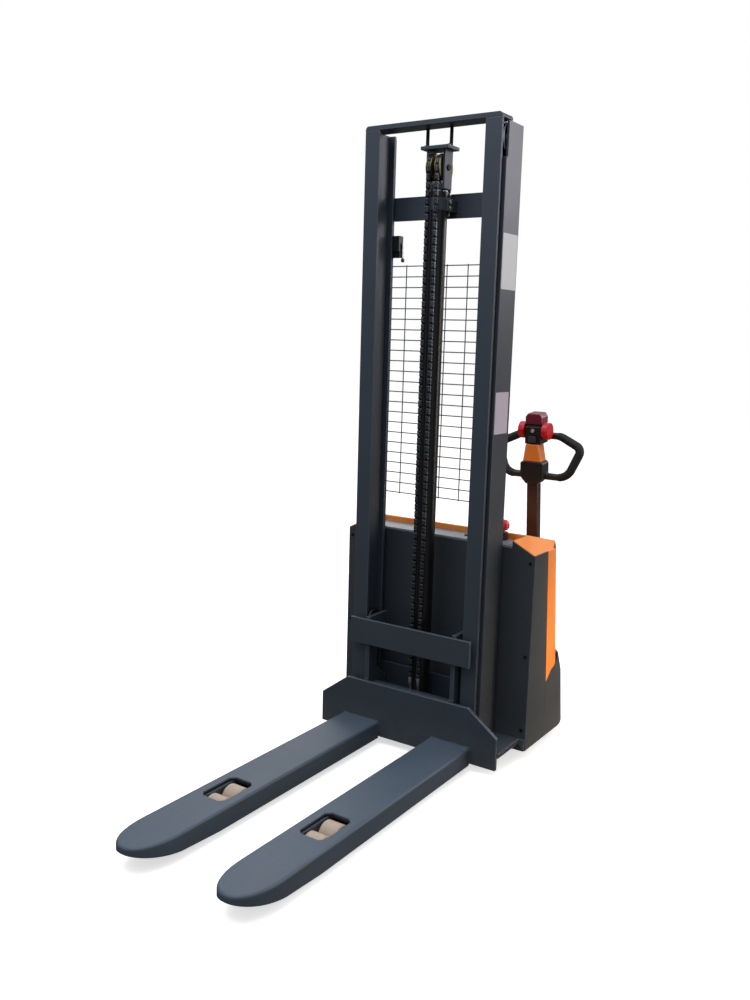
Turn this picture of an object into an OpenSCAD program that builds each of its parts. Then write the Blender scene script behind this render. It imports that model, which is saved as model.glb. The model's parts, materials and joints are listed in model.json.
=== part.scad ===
// Electric walkie stacker: a two-stage lifting mast and a pair of forks on a wheeled chassis,
// driven and steered from a tiller behind the body. All sizes are in millimetres.
// X runs across the machine, the forks point to -Y, Z is up and the floor is Z = 0.
// Left and right are those of the operator, who looks towards the forks, so left is +X.
// Inside the modules Y is measured from the front face of the carriage plate.

/* [Forks] */
// Length of the forks, from the carriage plate to the tip
fork_length = 1150; // [1050:10:1220]
// Width of one fork
fork_w = 160; // [150:2:180]
// Width over both forks
fork_spread = 540; // [520:5:570]
// Height of the fork's top face with the mast down
fork_top_z = 87; // [85:0.5:92]
// Sheet thickness of the forks
fork_wall = 6; // [5:0.5:7]
// Depth of a fork's side walls
fork_depth = 65; // [58:1:66]
// Depth of the fork at its tip
nose_depth = 23; // [18:1:40]
// Length over which the fork gets thinner towards its tip
taper_length = 280; // [200:10:300]
// Length of the rounded nose
nose_length = 155; // [120:5:180]
// Length of the roller window in a fork
window_l = 150; // [140:1:160]
// Width of the roller window
window_w = 92; // [84:1:110]
// Distance from the fork's tip to the middle of its roller window
window_setback = 426; // [380:2:480]

/* [Support legs and load rollers] */
// Width of a support leg
leg_w = 100; // [96:1:110]
// Clear height between the leg and the fork's underside
leg_gap = 7; // [5:0.5:9]
// Height of the leg's underside over the floor
leg_bottom_z = 26; // [23:1:30]
// Plate thickness of the leg
leg_plate = 10; // [8:0.5:11]
// Radius of a load roller
load_r = 39; // [36:0.5:39.5]
// Width of a load roller
load_w = 70; // [60:1:72]
// Gap between the two rollers of a leg
load_gap = 3; // [2:0.5:8]
// Radius of a load roller's axle
load_axle_r = 10; // [8:0.5:12]

/* [Carriage] */
// Width of the lower carriage plate
plate_w = 740; // [640:10:770]
// Height of the lower carriage plate
plate_h = 200; // [170:2:220]
// Height of the plate's lower edge over the floor
plate_z = 29; // [26:1:38]
// Plate thickness
plate_t = 14; // [10:1:18]
// Width of the plate's slanted corners
plate_cut_w = 115; // [60:5:130]
// Height of the plate's slanted corners
plate_cut_h = 85; // [50:5:100]
// Width of the upper carriage bar
bar_w = 500; // [420:10:520]
// Height of the upper bar's lower edge over the floor
bar_z = 368; // [340:2:380]
// Height of the upper bar
bar_h = 95; // [70:5:100]
// Thickness of the upper bar
bar_t = 12; // [8:1:14]
// Thickness of the carriage's side plates
side_t = 16; // [10:1:18]

/* [Mast] */
// Height of the lowered mast
mast_h = 2194; // [2050:10:2400]
// Width of the inner mast
inner_w = 522; // [500:2:540]
// Distance from the carriage plate's face to the mast's front face
mast_y = 40; // [36:1:48]
// Depth of the inner mast's section
inner_depth = 120; // [110:2:130]
// Flange thickness of the inner mast's section
inner_flange = 12; // [9:0.5:14]
// Web thickness of the inner mast's section
inner_web = 10; // [8:0.5:12]
// Flange thickness of the outer mast's section
outer_flange = 10; // [8:0.5:12]
// Web thickness of the outer mast's section
outer_web = 8; // [6:0.5:10]
// Gap between the front flanges of the inner and outer masts
nest_gap = 12; // [8:0.5:16]
// Radius of the stub axles of the mast rollers
stub_r = 15; // [12:0.5:18]

/* [Lift cylinder and chains] */
// Outer radius of the lift cylinder
cyl_r = 32.5; // [29:0.5:34]
// Wall thickness of the lift cylinder
cyl_wall = 5.5; // [4:0.5:7]
// Radius of the piston rod
rod_r = 22.5; // [18:0.5:23]
// Distance of the chain wheels' axis below the mast's top
wheel_drop = 146; // [136:2:180]
// Radius at which the chains turn round their wheels
chain_r = 43; // [42.5:0.5:46]
// Width of a chain
chain_w = 12; // [10:1:14]
// Height of a chain's link plates
chain_h = 10; // [8:0.5:11]
// Distance of each chain from the middle of the mast
chain_x = 17; // [16:0.5:20]
// Pitch of the chains' pins
chain_pitch = 13; // [12:0.5:20]

/* [Mesh guard] */
// Height of the lowest wire over the floor
mesh_z = 915; // [860:5:980]
// Distance between the level wires
mesh_pitch = 37.5; // [30:0.5:40]
// Number of level wires
mesh_rows = 23; // [12:1:24]
// Number of upright wires
mesh_posts = 7; // [3:1:9]
// Radius of the wires
wire_r = 2; // [1.5:0.25:2.5]

/* [Body] */
// Width of the body
body_w = 786; // [760:2:840]
// Length of the body, from its front panel to its rear
body_l = 484; // [470:2:520]
// Height of the body's lower edge over the floor
body_z = 41; // [35:1:55]
// Height of the deck behind the mast
deck_z = 778; // [700:2:820]
// Length of the deck
deck_l = 110; // [90:2:115]
// Height of the hood's front lip over the deck
hood_rise = 22; // [10:1:40]
// Length of the hood at its top
hood_l = 180; // [170:2:184]
// Fall of the hood's top towards the rear
hood_fall = 45; // [20:1:60]
// Corner radius of the hood's top, seen from above
hood_r = 150; // [100:5:165]
// Corner radius of the hood's foot, seen from above
hood_foot_r = 85; // [70:5:120]
// Distance by which the hood's foot lies behind its top
hood_flare = 18; // [0:1:22]
// Width of the hood's slanted shoulders
shoulder_w = 89; // [60:1:110]
// Height of the hood's slanted shoulders
shoulder_h = 45; // [30:1:60]
// Corner radius of the lower skirt, seen from above
skirt_r = 200; // [180:5:205]
// Height of the skirt's upper edge at the sides
skirt_side_z = 256; // [250:1:270]
// Height of the skirt's top behind the hood
skirt_top_z = 322; // [312:1:330]
// Wall thickness of the covers
cover_t = 3; // [2:0.5:4]
// Length of a battery
battery_l = 172; // [140:2:174]
// Height of a battery
battery_h = 215; // [180:5:220]
// Distance of each battery from the middle of the machine
battery_x = 110; // [90:5:130]

/* [Drive wheel and caster] */
// Distance of the steering axis from the middle of the machine
drive_x = 188; // [170:2:196]
// Distance of the steering axis from the rear of the body
drive_setback = 130; // [124:1:136]
// Radius of the drive wheel
drive_r = 110; // [100:1:113]
// Width of the drive wheel
drive_w = 70; // [55:1:76]
// Distance of the caster's swivel axis from the middle of the machine
caster_x = 213; // [205:1:225]
// Radius of the caster's wheel
caster_r = 75; // [60:1:76]
// Width of the caster's wheel
caster_w = 46; // [36:1:52]
// Trail of the caster
trail = 38; // [30:1:40]

/* [Tiller] */
// Height of the tiller's pivot over the floor
pivot_z = 440; // [430:1:470]
// Distance of the tiller's pivot behind the steering axis
pivot_back = 105; // [95:1:108]
// Forward lean of the parked tiller, in degrees
lean = 5.7; // [3:0.1:8]
// Length of the tiller, from its pivot to the end of its button
tiller_l = 778; // [720:2:860]
// Width of the arm at its foot
arm_w = 48; // [40:1:54]
// Width of the arm at the head
arm_top_w = 44; // [36:1:46]
// Depth of the arm
arm_d = 32; // [28:1:36]
// Width of the grip loop
loop_w = 364; // [340:2:390]
// Height of the grip loop, between the middles of its bars
loop_h = 157; // [154:1:166]
// Backward tilt of the grip loop, in degrees
loop_tilt = 14; // [12:0.5:16]
// Radius of the grip bars
grip_r = 14; // [11:0.5:14]
// Radius of the thumb wheels
thumb_r = 32; // [26:0.5:34]

/* [Hidden] */
$fn = 48;

// Clearances: faces that only lie side by side, running fits, pins in the frame
seam = 0.3;
run = 0.05;
snug = 0.02;
eps = 1;

// Forks, legs and load rollers
fork_x = (fork_spread - fork_w) / 2;
fork_under_z = fork_top_z - fork_wall;
window_y = -(fork_length - window_setback);
load_pitch = 2 * load_r + load_gap;
load_ys = [window_y - load_pitch / 2, window_y + load_pitch / 2];
leg_top_z = fork_under_z - leg_gap;
leg_tip_y = load_ys[0] - load_r - 38;
leg_box_y = load_ys[1] + load_r + 6;
taper_y = taper_length - fork_length;
nose_power = 2.2;
notch_gap = 14;

// Frame under the mast and body
beam_y = plate_t + 6;
beam_w = plate_w;
beam_z = 40;
beam_top_z = 85;
floor_z = 60;
floor_t = 8;

// Mast sections
inner_half = inner_w / 2;
web_x = inner_half - 32;
inner_edge_x = inner_half - 50;
outer_half = inner_half + 1 + outer_web;
outer_web_x = outer_half - outer_web;
beam_core = outer_half + 60;
inner_rear_y = mast_y + inner_depth;
outer_y = mast_y + inner_flange + nest_gap;
rear_gap = 8;
outer_rear_y = inner_rear_y + rear_gap + outer_flange;
outer_lip_x = web_x + inner_web + 4;
outer_edge_x = inner_edge_x + 10;
inner_bottom_z = beam_top_z + 10;
top_plate_t = 16;
inner_top_z = mast_h - top_plate_t;
outer_top_z = inner_top_z - 6;
roller_play = 0.5;
channel_y = mast_y + inner_depth / 2;
channel_r = inner_depth / 2 - inner_flange - roller_play;
outer_channel_y = (outer_y + outer_rear_y) / 2;
outer_channel_r = (outer_rear_y - outer_y) / 2 - outer_flange - roller_play;
outer_roller_z = outer_top_z - 52;
inner_roller_z = inner_bottom_z + 56;
side_roller_x = [web_x + inner_web + 2, outer_web_x - 1.5];
crossbeam_z = outer_top_z - 280;
crossbeam_h = 80;
low_beam_h = 108;

// Carriage
side_x = web_x - 41;
carriage_roller_x = [web_x - 23, web_x - 3];
carriage_roller_z = [beam_top_z + 75, bar_z + bar_h / 2 + 14];
bar_y = 5;
anchor_z = beam_top_z + 105;
anchor_h = 25;
anchor_r = 5;

// Cylinder, crosshead and chains
cyl_y = mast_y + 65;
cyl_foot = 12;
gland_h = 22;
wheel_z = mast_h - wheel_drop;
crosshead_z = wheel_z - 70;
gland_z = crosshead_z - 6 - gland_h;
flange_z = wheel_z + 57;
groove_r = chain_r - chain_h / 2;
rim_r = chain_r + 3;
pin_r = 10;
cheek_x = [chain_x + chain_w / 2 + 6, chain_x + chain_w / 2 + 13];
front_run_y = cyl_y - chain_r;
rear_run_y = cyl_y + chain_r;
front_run_z = anchor_z + anchor_h + 47;
clamp_t = 2.5;
clamp_z = [crossbeam_z + 18, crossbeam_z + crossbeam_h - 22];
rear_run_z = gland_z + gland_h;
pipe_z = beam_top_z + 30;

// Body
body_half = body_w / 2;
body_y = outer_rear_y + 8;
body_rear_y = body_y + body_l;
hood_y = body_y + deck_l;
hood_rear_y = hood_y + hood_l;
hood_z = deck_z + hood_rise;
deck_t = 8;
hood_t = cover_t + 1;
shoulder_z = hood_z - shoulder_h;
shoulder_tan = shoulder_h / shoulder_w;
shoulder_cos = cos(atan(shoulder_tan));
deck_half = body_half - shoulder_w;
post_z = shoulder_z - 16;
stripe_run = 46;
knee_run = 88;
rear_wall_run = 76;
stripe_y = hood_y + stripe_run;
knee_y = hood_y + knee_run;
knee_z = skirt_side_z + 36;
skirt_rear_z = skirt_top_z - 14;
skirt_mid_z = 250;
skirt_top_r = skirt_r + 40;
skirt_draft = 26;
hood_foot_y = hood_rear_y + hood_flare;
frame_inset = cover_t + seam;
post_w = 16;
rear_deck_z = 236;
rear_wall_y = hood_rear_y - rear_wall_run;
frame_r = skirt_top_r + 5;
bay_y = body_y + 30;

// Drive unit, caster and their axes
drive_y = body_rear_y - drive_setback;
neck_r = 55;
flange_r = 92;
turntable_z = drive_r * 2 + 3;
motor_r = 80;
cap_r = 44;
cap_top_z = pivot_z - 45;
caster_top_z = 200;
caster_pin_r = 12;

// Tiller, along its own leaning axis
pivot_y = drive_y + pivot_back;
pivot_r = 10;
button_h = 40;
head_w = tiller_l - button_h + 8;
hub_w = tiller_l - 271;
band_w = hub_w + 88;
pad_w = band_w + 66;
loop_low_w = hub_w + 26;
loop_back = 18;
bar_step = 0.5;
thumb_v = 8;
thumb_w = pad_w + 50;
hub_half = 47;
neck_foot = 38;
neck_top = 27;
pad_half = 33;
pad_front = -18;
pad_rear = 52;
cover_front = -26;
cover_rear = 28;
rocker_w = pad_w + 20;
horn_w = pad_w + 52;
ear_x = [arm_w / 2 + 2, arm_w / 2 + 12];

// The part's origin lies on the floor in the middle of the machine's length
face_y = (fork_length - body_rear_y) / 2;

// Emergency stop, key switch and charge gauge on the deck
estop_at = [deck_half - 79, body_y + 79];
key_at = [deck_half - 136, body_y + 60];
gauge_at = [deck_half - 194, body_y + 60];

module place() {
    translate([0, face_y, 0]) children();
}

module box(x, y, z) {
    translate([x[0], y[0], z[0]]) cube([x[1] - x[0], y[1] - y[0], z[1] - z[0]]);
}

module x_rod(r, x, y, z) {
    translate([x[0], y, z]) rotate([0, 90, 0]) cylinder(r = r, h = x[1] - x[0]);
}

module y_rod(r, x, y, z) {
    translate([x, y[1], z]) rotate([90, 0, 0]) cylinder(r = r, h = y[1] - y[0]);
}

module z_rod(r, x, y, z) {
    translate([x, y, z[0]]) cylinder(r = r, h = z[1] - z[0]);
}

// Extrudes a shape drawn in Y and Z along X
module along_x(x) {
    translate([x[0], 0, 0]) rotate([90, 0, 90]) linear_extrude(height = x[1] - x[0]) children();
}

// Extrudes a shape drawn in X and Z along Y
module along_y(y) {
    translate([0, y[1], 0]) rotate([90, 0, 0]) linear_extrude(height = y[1] - y[0]) children();
}

module both_sides() {
    children();
    mirror([1, 0, 0]) children();
}

module left_side() {
    children();
}

module right_side() {
    mirror([1, 0, 0]) children();
}

// Forks

function nose_point(half, depth, a) =
    [half * pow(cos(a), 2 / nose_power), -depth * pow(sin(a), 2 / nose_power)];

function taper_z(u) = fork_top_z - fork_depth + (fork_depth - nose_depth) * u * u;

module fork_outline(inset) {
    half = fork_w / 2 - inset;
    base = -(fork_length - nose_length);
    steps = 12;
    left = [for (i = [0 : steps]) nose_point(half, nose_length - inset, i * 90 / steps)];
    right = [for (i = [steps - 1 : -1 : 0]) nose_point(half, nose_length - inset, i * 90 / steps)];
    polygon(concat([[half, 0]], [for (p = left) [p[0], base + p[1]]],
        [for (p = right) [-p[0], base + p[1]]], [[-half, 0]]));
}

module window_outline(cut = 16) {
    half = window_w / 2;
    l = window_l / 2;
    polygon([[half - cut, -l], [half, -l + cut], [half, l - cut], [half - cut, l],
        [-half + cut, l], [-half, l - cut], [-half, -l + cut], [-half + cut, -l]]);
}

module fork() {
    color("#39434c") translate([fork_x, 0, 0]) difference() {
        translate([0, 0, fork_top_z - fork_depth]) linear_extrude(height = fork_depth) fork_outline(0);
        difference() {
            translate([0, 0, fork_top_z - fork_depth - eps])
                linear_extrude(height = fork_depth - fork_wall + eps) fork_outline(fork_wall);
            box([-fork_w, fork_w], [-fork_wall, eps], [fork_under_z - leg_gap + 2, fork_top_z]);
        }
        translate([0, window_y, fork_under_z - eps]) linear_extrude(height = fork_wall + 2 * eps)
            window_outline();
        along_x([-fork_w, fork_w]) polygon(concat([[-fork_length - eps, -eps], [taper_y, -eps]],
            [for (i = [0 : 10]) [taper_y - i * taper_length / 10, taper_z(i / 10)]],
            [[-fork_length - eps, taper_z(1)]]));
    }
}

module fork_left() left_side() fork();
module fork_right() right_side() fork();

// Support legs and load rollers

module support_leg() {
    wall_x = [leg_w / 2 - leg_plate, leg_w / 2];
    color("#30363d") translate([fork_x, 0, 0]) difference() {
        union() {
            both_sides() box(wall_x, [leg_tip_y, beam_y], [leg_bottom_z, leg_top_z]);
            box([-wall_x[1], wall_x[1]], [leg_box_y, beam_y], [leg_top_z - leg_plate, leg_top_z]);
            box([-wall_x[1], wall_x[1]], [leg_box_y, beam_y], [leg_bottom_z, leg_bottom_z + leg_plate]);
            box([-wall_x[1], wall_x[1]], [leg_tip_y, leg_tip_y + leg_plate],
                [leg_bottom_z + leg_plate, leg_top_z - leg_plate]);
        }
        for (y = load_ys) x_rod(load_axle_r + snug, [-leg_w, leg_w], y, load_r);
        both_sides() along_x([leg_w / 2 - leg_plate - eps, leg_w / 2 + eps])
            polygon([[leg_tip_y - eps, leg_bottom_z - eps], [leg_tip_y + 24, leg_bottom_z - eps],
                [leg_tip_y - eps, leg_bottom_z + 24]]);
    }
}

module support_leg_left() left_side() support_leg();
module support_leg_right() right_side() support_leg();

module load_roller_axles() {
    inner = leg_w / 2 - leg_plate - seam;
    color("#8a8d90") both_sides() for (y = load_ys) {
        x_rod(load_axle_r, [fork_x - leg_w / 2, fork_x + leg_w / 2], y, load_r);
        x_rod(load_axle_r + 5, [fork_x - inner, fork_x - load_w / 2 - seam], y, load_r);
        x_rod(load_axle_r + 5, [fork_x + load_w / 2 + seam, fork_x + inner], y, load_r);
    }
}

module load_roller(y) {
    half = load_w / 2;
    rim = 4;
    color("#dcc6b0") translate([fork_x, y, load_r]) rotate([0, 90, 0]) rotate_extrude($fn = 64)
        polygon([[load_axle_r + run, -half], [load_r * 0.6, -half], [load_r * 0.6, -half + rim],
            [load_r - rim, -half + rim], [load_r, -half + 2 * rim], [load_r, half - 2 * rim],
            [load_r - rim, half - rim], [load_r * 0.6, half - rim], [load_r * 0.6, half],
            [load_axle_r + run, half]]);
}

module load_roller_left_front() left_side() load_roller(load_ys[0]);
module load_roller_left_rear() left_side() load_roller(load_ys[1]);
module load_roller_right_front() right_side() load_roller(load_ys[0]);
module load_roller_right_rear() right_side() load_roller(load_ys[1]);

// Chassis frame

// Outline seen from above, with square corners in front and round ones at the rear
module body_plan(half, y, rear, r) {
    translate([-half, y]) square([2 * half, rear - r - y]);
    translate([-half + r, y]) square([2 * (half - r), rear - y]);
    for (x = [-1, 1]) translate([x * (half - r), rear - r]) circle(r = r, $fn = 64);
}

module base_frame() {
    wall = 6;
    half = body_half - frame_inset;
    color("#2f353c") difference() {
        union() {
            difference() {
                union() {
                    box([-beam_w / 2, beam_w / 2], [beam_y, body_y + 2], [beam_top_z - 18, beam_top_z]);
                    box([-beam_core, beam_core], [beam_y, body_y + 2], [beam_z, beam_top_z]);
                }
                box([-beam_core + 8, beam_core - 8], [beam_y + 8, body_y - 6],
                    [beam_z + 8, beam_top_z - 8]);
            }
            box([-half, half], [body_y - wall, body_y + 2], [body_z, beam_top_z]);
            intersection() {
                translate([0, 0, body_z]) linear_extrude(height = 300)
                    body_plan(half, body_y - wall, body_rear_y - frame_inset - 6, frame_r);
                union() {
                    box([-half, half], [body_y, rear_wall_y + floor_t], [floor_z, floor_z + floor_t]);
                    both_sides() {
                        box([half - wall, half], [body_y - wall, drive_y], [body_z, beam_top_z]);
                        box([half - wall, half], [body_y + frame_inset, drive_y],
                            [body_z, rear_deck_z + floor_t]);
                    }
                    box([-half, half], [rear_wall_y, rear_wall_y + floor_t], [floor_z, rear_deck_z]);
                    box([-half, half], [rear_wall_y, body_rear_y], [rear_deck_z, rear_deck_z + floor_t]);
                }
            }
            both_sides() box([half - wall - post_w, half - wall],
                [body_y + frame_inset, body_y + frame_inset + post_w], [floor_z, post_z]);
            box([-half + wall, half - wall], [body_y + frame_inset, body_y + frame_inset + post_w],
                [post_z - 20, post_z]);
            box([-deck_half + 20, deck_half - 20], [body_y + frame_inset, body_y + frame_inset + post_w],
                [post_z - eps, deck_z - deck_t - seam]);
            z_rod(26, -caster_x, drive_y, [caster_top_z, rear_deck_z + eps]);
        }
        z_rod(neck_r + run, drive_x, drive_y, [rear_deck_z - eps, rear_deck_z + floor_t + eps]);
        z_rod(caster_pin_r + run, -caster_x, drive_y, [caster_top_z - eps, rear_deck_z - 4]);
        for (at = screw_places()) y_rod(3 + snug, at[0], [body_y, body_y + 12], at[1]);
    }
}

// Outer mast

module outer_upright() {
    color("#6d7277") difference() {
        union() {
            box([outer_web_x, outer_half], [outer_y, outer_rear_y], [beam_top_z, outer_top_z]);
            box([outer_lip_x, outer_half], [outer_y, outer_y + outer_flange], [beam_top_z, outer_top_z]);
            box([outer_edge_x, outer_half], [outer_rear_y - outer_flange, outer_rear_y],
                [beam_top_z, outer_top_z]);
            x_rod(stub_r, [side_roller_x[0] + seam, outer_web_x], channel_y, outer_roller_z);
        }
        difference() {
            box([outer_lip_x - eps, outer_half + eps], [outer_y - eps, outer_y + outer_flange],
                [outer_roller_z - channel_r - 12, outer_top_z + eps]);
            x_rod(stub_r, [side_roller_x[0], outer_web_x], channel_y, outer_roller_z);
        }
    }
}

module outer_upright_left() left_side() outer_upright();
module outer_upright_right() right_side() outer_upright();

module outer_crossbeam() {
    color("#2b3036") box([-outer_edge_x, outer_edge_x],
        [outer_rear_y - outer_flange + 2, outer_rear_y + 4], [crossbeam_z, crossbeam_z + crossbeam_h]);
    cylinder_clamp();
}

module mast_roller(r, x, y, z) {
    rim = 2;
    color("#4b5056") translate([x[0], y, z]) rotate([0, 90, 0]) rotate_extrude($fn = 64)
        polygon([[stub_r + run, 0], [stub_r + 8, 0], [stub_r + 8, rim], [r - 10, rim], [r - 10, 0],
            [r - rim, 0], [r, rim], [r, x[1] - x[0] - rim], [r - rim, x[1] - x[0]],
            [r - 10, x[1] - x[0]], [r - 10, x[1] - x[0] - rim], [stub_r + 8, x[1] - x[0] - rim],
            [stub_r + 8, x[1] - x[0]], [stub_r + run, x[1] - x[0]]]);
}

module outer_mast_rollers() {
    both_sides() mast_roller(channel_r, side_roller_x, channel_y, outer_roller_z);
}

// Inner mast

module inner_upright() {
    color("#2f353c") difference() {
        union() {
            box([inner_half - 59, inner_half], [mast_y, mast_y + inner_flange],
                [inner_bottom_z, inner_top_z]);
            box([web_x, web_x + inner_web], [mast_y, inner_rear_y], [inner_bottom_z, inner_top_z]);
            box([inner_edge_x, inner_half - 4], [inner_rear_y - inner_flange, inner_rear_y],
                [inner_bottom_z, inner_top_z]);
            x_rod(stub_r, [web_x + inner_web, side_roller_x[1] - seam], outer_channel_y, inner_roller_z);
        }
        difference() {
            box([web_x + inner_web, inner_half], [inner_rear_y - inner_flange - eps, inner_rear_y + eps],
                [inner_bottom_z - eps, inner_roller_z + outer_channel_r + 8]);
            x_rod(stub_r, [web_x + inner_web, side_roller_x[1] - seam], outer_channel_y, inner_roller_z);
        }
    }
}

module inner_upright_left() left_side() inner_upright();
module inner_upright_right() right_side() inner_upright();

module inner_crossbeams() {
    r = 14;
    color("#2f353c") along_y([mast_y, cyl_y + 12]) {
        translate([-inner_half, inner_top_z]) square([inner_w, top_plate_t - r]);
        translate([-inner_half + r, inner_top_z]) square([inner_w - 2 * r, top_plate_t]);
        for (x = [-1, 1]) intersection() {
            translate([x * (inner_half - r), mast_h - r]) circle(r = r);
            translate([-inner_half, inner_top_z]) square([inner_w, top_plate_t]);
        }
    }
    color("#2b3036") box([-inner_half + 21, inner_half - 21], [inner_rear_y, inner_rear_y + rear_gap - 2],
        [inner_roller_z, inner_roller_z + low_beam_h]);
}

module inner_mast_rollers() {
    both_sides() mast_roller(outer_channel_r, side_roller_x, outer_channel_y, inner_roller_z);
}

// Lift cylinder

module lift_cylinder() {
    bore_r = cyl_r - cyl_wall;
    color("#24282d") {
        difference() {
            union() {
                z_rod(cyl_r, 0, cyl_y, [beam_top_z, gland_z]);
                z_rod(cyl_r + 12, 0, cyl_y, [beam_top_z, beam_top_z + cyl_foot]);
                y_rod(14, 0, [cyl_y, cyl_y + cyl_r + 8], pipe_z);
            }
            z_rod(bore_r, 0, cyl_y, [beam_top_z + cyl_foot, gland_z + eps]);
            y_rod(7 + snug, 0, [cyl_y + bore_r - 2, cyl_y + cyl_r + 9], pipe_z);
        }
        difference() {
            z_rod(cyl_r + clamp_t - 0.5, 0, cyl_y, [gland_z, gland_z + gland_h]);
            z_rod(rod_r + run, 0, cyl_y, [gland_z - eps, gland_z + gland_h + eps]);
        }
    }
}

module cylinder_clamp() {
    arm_x = [chain_x + chain_w / 2 + 6, chain_x + chain_w / 2 + 16];
    rear = outer_rear_y - outer_flange + 2;
    color("#2b3036") difference() {
        union() {
            z_rod(cyl_r + clamp_t, 0, cyl_y, clamp_z);
            both_sides() box(arm_x, [cyl_y, rear], clamp_z);
            both_sides() box([chain_x - 9, chain_x + 9], [cyl_y, rear], clamp_z);
        }
        z_rod(cyl_r + snug, 0, cyl_y, [clamp_z[0] - eps, clamp_z[1] + eps]);
        both_sides() z_rod(anchor_r + snug, chain_x, rear_run_y, [clamp_z[0] - eps, clamp_z[1] + eps]);
    }
    color("#c9c6bd") both_sides() for (dz = [10, 30])
        x_rod(5, [arm_x[1], arm_x[1] + 5], cyl_y + 16, clamp_z[0] + dz);
}

module rear_chain_anchors() {
    top = clamp_z[1];
    color("#8f9296") both_sides() {
        z_rod(anchor_r, chain_x, rear_run_y, [clamp_z[0] - 14, top + 10]);
        translate([chain_x, rear_run_y, clamp_z[0] - 8]) cylinder(r = 8, h = 8, $fn = 6);
        box([chain_x - chain_w / 2, chain_x + chain_w / 2],
            [rear_run_y - chain_h / 2, rear_run_y + chain_h / 2], [top + 6, rear_run_z]);
    }
}

module piston_rod() {
    bottom = beam_top_z + cyl_foot + 34;
    color("#c8ccd0") {
        z_rod(rod_r, 0, cyl_y, [bottom, crosshead_z]);
        z_rod(cyl_r - cyl_wall - run, 0, cyl_y, [bottom, bottom + 40]);
    }
}

// Crosshead with its chain wheels

module crosshead() {
    color("#24282d") difference() {
        union() {
            box([-cheek_x[1], cheek_x[1]], [cyl_y - 24, cyl_y + 24], [crosshead_z, crosshead_z + 18]);
            both_sides() along_x(cheek_x) polygon([[cyl_y - 24, crosshead_z], [cyl_y + 24, crosshead_z],
                [cyl_y + 27, wheel_z], [cyl_y + 27, flange_z + eps], [cyl_y - 27, flange_z + eps],
                [cyl_y - 27, wheel_z]]);
            box([-54, 54], [cyl_y - 38, cyl_y + 38], [flange_z, flange_z + 12]);
        }
        x_rod(pin_r + snug, [-cheek_x[1] - eps, cheek_x[1] + eps], cyl_y, wheel_z);
    }
}

module crosshead_pins() {
    color("#9a9da1") {
        x_rod(pin_r, [-cheek_x[1] - 4, cheek_x[1] + 4], cyl_y, wheel_z);
        x_rod(pin_r + 4, [-chain_x + chain_w / 2 + 4 + seam, chain_x - chain_w / 2 - 4 - seam],
            cyl_y, wheel_z);
        both_sides() z_rod(6, 46, cyl_y - 6, [flange_z + 12, inner_top_z]);
    }
}

module chain_wheels() {
    half = chain_w / 2;
    color("#8a7c3c") both_sides() translate([chain_x, cyl_y, wheel_z]) rotate([0, 90, 0])
        rotate_extrude($fn = 64) polygon([[pin_r + run, -half - 4], [rim_r, -half - 4],
            [rim_r, -half - 1], [groove_r - seam, -half - 1], [groove_r - seam, half + 1],
            [rim_r, half + 1], [rim_r, half + 4], [pin_r + 4, half + 4],
            [pin_r + 4, half + 6 - seam], [pin_r + run, half + 6 - seam]]);
}

module chain_wraps() {
    color("#3a3d40") both_sides() intersection() {
        translate([chain_x - chain_w / 2, cyl_y, wheel_z]) rotate([0, 90, 0]) difference() {
            cylinder(r = chain_r + chain_h / 2, h = chain_w, $fn = 64);
            translate([0, 0, -eps]) cylinder(r = groove_r, h = chain_w + 2 * eps, $fn = 64);
        }
        box([0, chain_x + chain_w], [cyl_y - 2 * chain_r, cyl_y + 2 * chain_r],
            [wheel_z, wheel_z + 2 * chain_r]);
    }
}

// A straight chain has link plates with waists, one waist in each pitch
module chain_run(y, z) {
    half = chain_h / 2;
    waist = half - 1.6;
    n = floor((z[1] - z[0]) / chain_pitch);
    pitch = (z[1] - z[0]) / n;
    rise = [for (i = [0 : n - 1]) for (s = [[0.25, half], [0.5, waist], [0.75, half]])
        [y + s[1], z[0] + (i + s[0]) * pitch]];
    fall = [for (i = [n - 1 : -1 : 0]) for (s = [[0.75, half], [0.5, waist], [0.25, half]])
        [y - s[1], z[0] + (i + s[0]) * pitch]];
    both_sides() along_x([chain_x - chain_w / 2, chain_x + chain_w / 2])
        polygon(concat([[y + half, z[0]]], rise, [[y + half, z[1]], [y - half, z[1]]], fall,
            [[y - half, z[0]]]));
}

module chain_front_runs() {
    color("#3a3d40") chain_run(front_run_y, [front_run_z, wheel_z]);
}

module chain_rear_runs() {
    color("#3a3d40") chain_run(rear_run_y, [rear_run_z, wheel_z]);
}

// Mesh guard

module mesh_guard() {
    half = inner_half - 9;
    top = mesh_z + (mesh_rows - 1) * mesh_pitch;
    y = outer_rear_y + 2 * wire_r;
    color("#3c4146") {
        for (i = [0 : mesh_rows - 1]) translate([-half, y, mesh_z + i * mesh_pitch])
            rotate([0, 90, 0]) cylinder(r = wire_r, h = 2 * half, $fn = 6);
        for (i = [0 : mesh_posts - 1])
            translate([-half + wire_r + i * 2 * (half - wire_r) / (mesh_posts - 1), y + wire_r,
                mesh_z - wire_r - 2]) cylinder(r = wire_r, h = top - mesh_z + 2 * wire_r + 4, $fn = 6);
        both_sides() for (z = [mesh_z + mesh_pitch, top - mesh_pitch])
            box([half - 16, half], [outer_rear_y, y + wire_r], [z - 10, z + 10]);
    }
}

// Body covers

// Front view of the body's top with its slanted shoulders, filled down to the floor
module shoulder_profile(inset) {
    half = body_half - inset;
    top = hood_z - inset;
    low = shoulder_z + inset * shoulder_tan - inset / shoulder_cos;
    run_x = (top - shoulder_z + inset / shoulder_cos) / shoulder_tan;
    polygon([[-half, 0], [half, 0], [half, low], [body_half - run_x, top], [-body_half + run_x, top],
        [-half, low]]);
}

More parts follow.
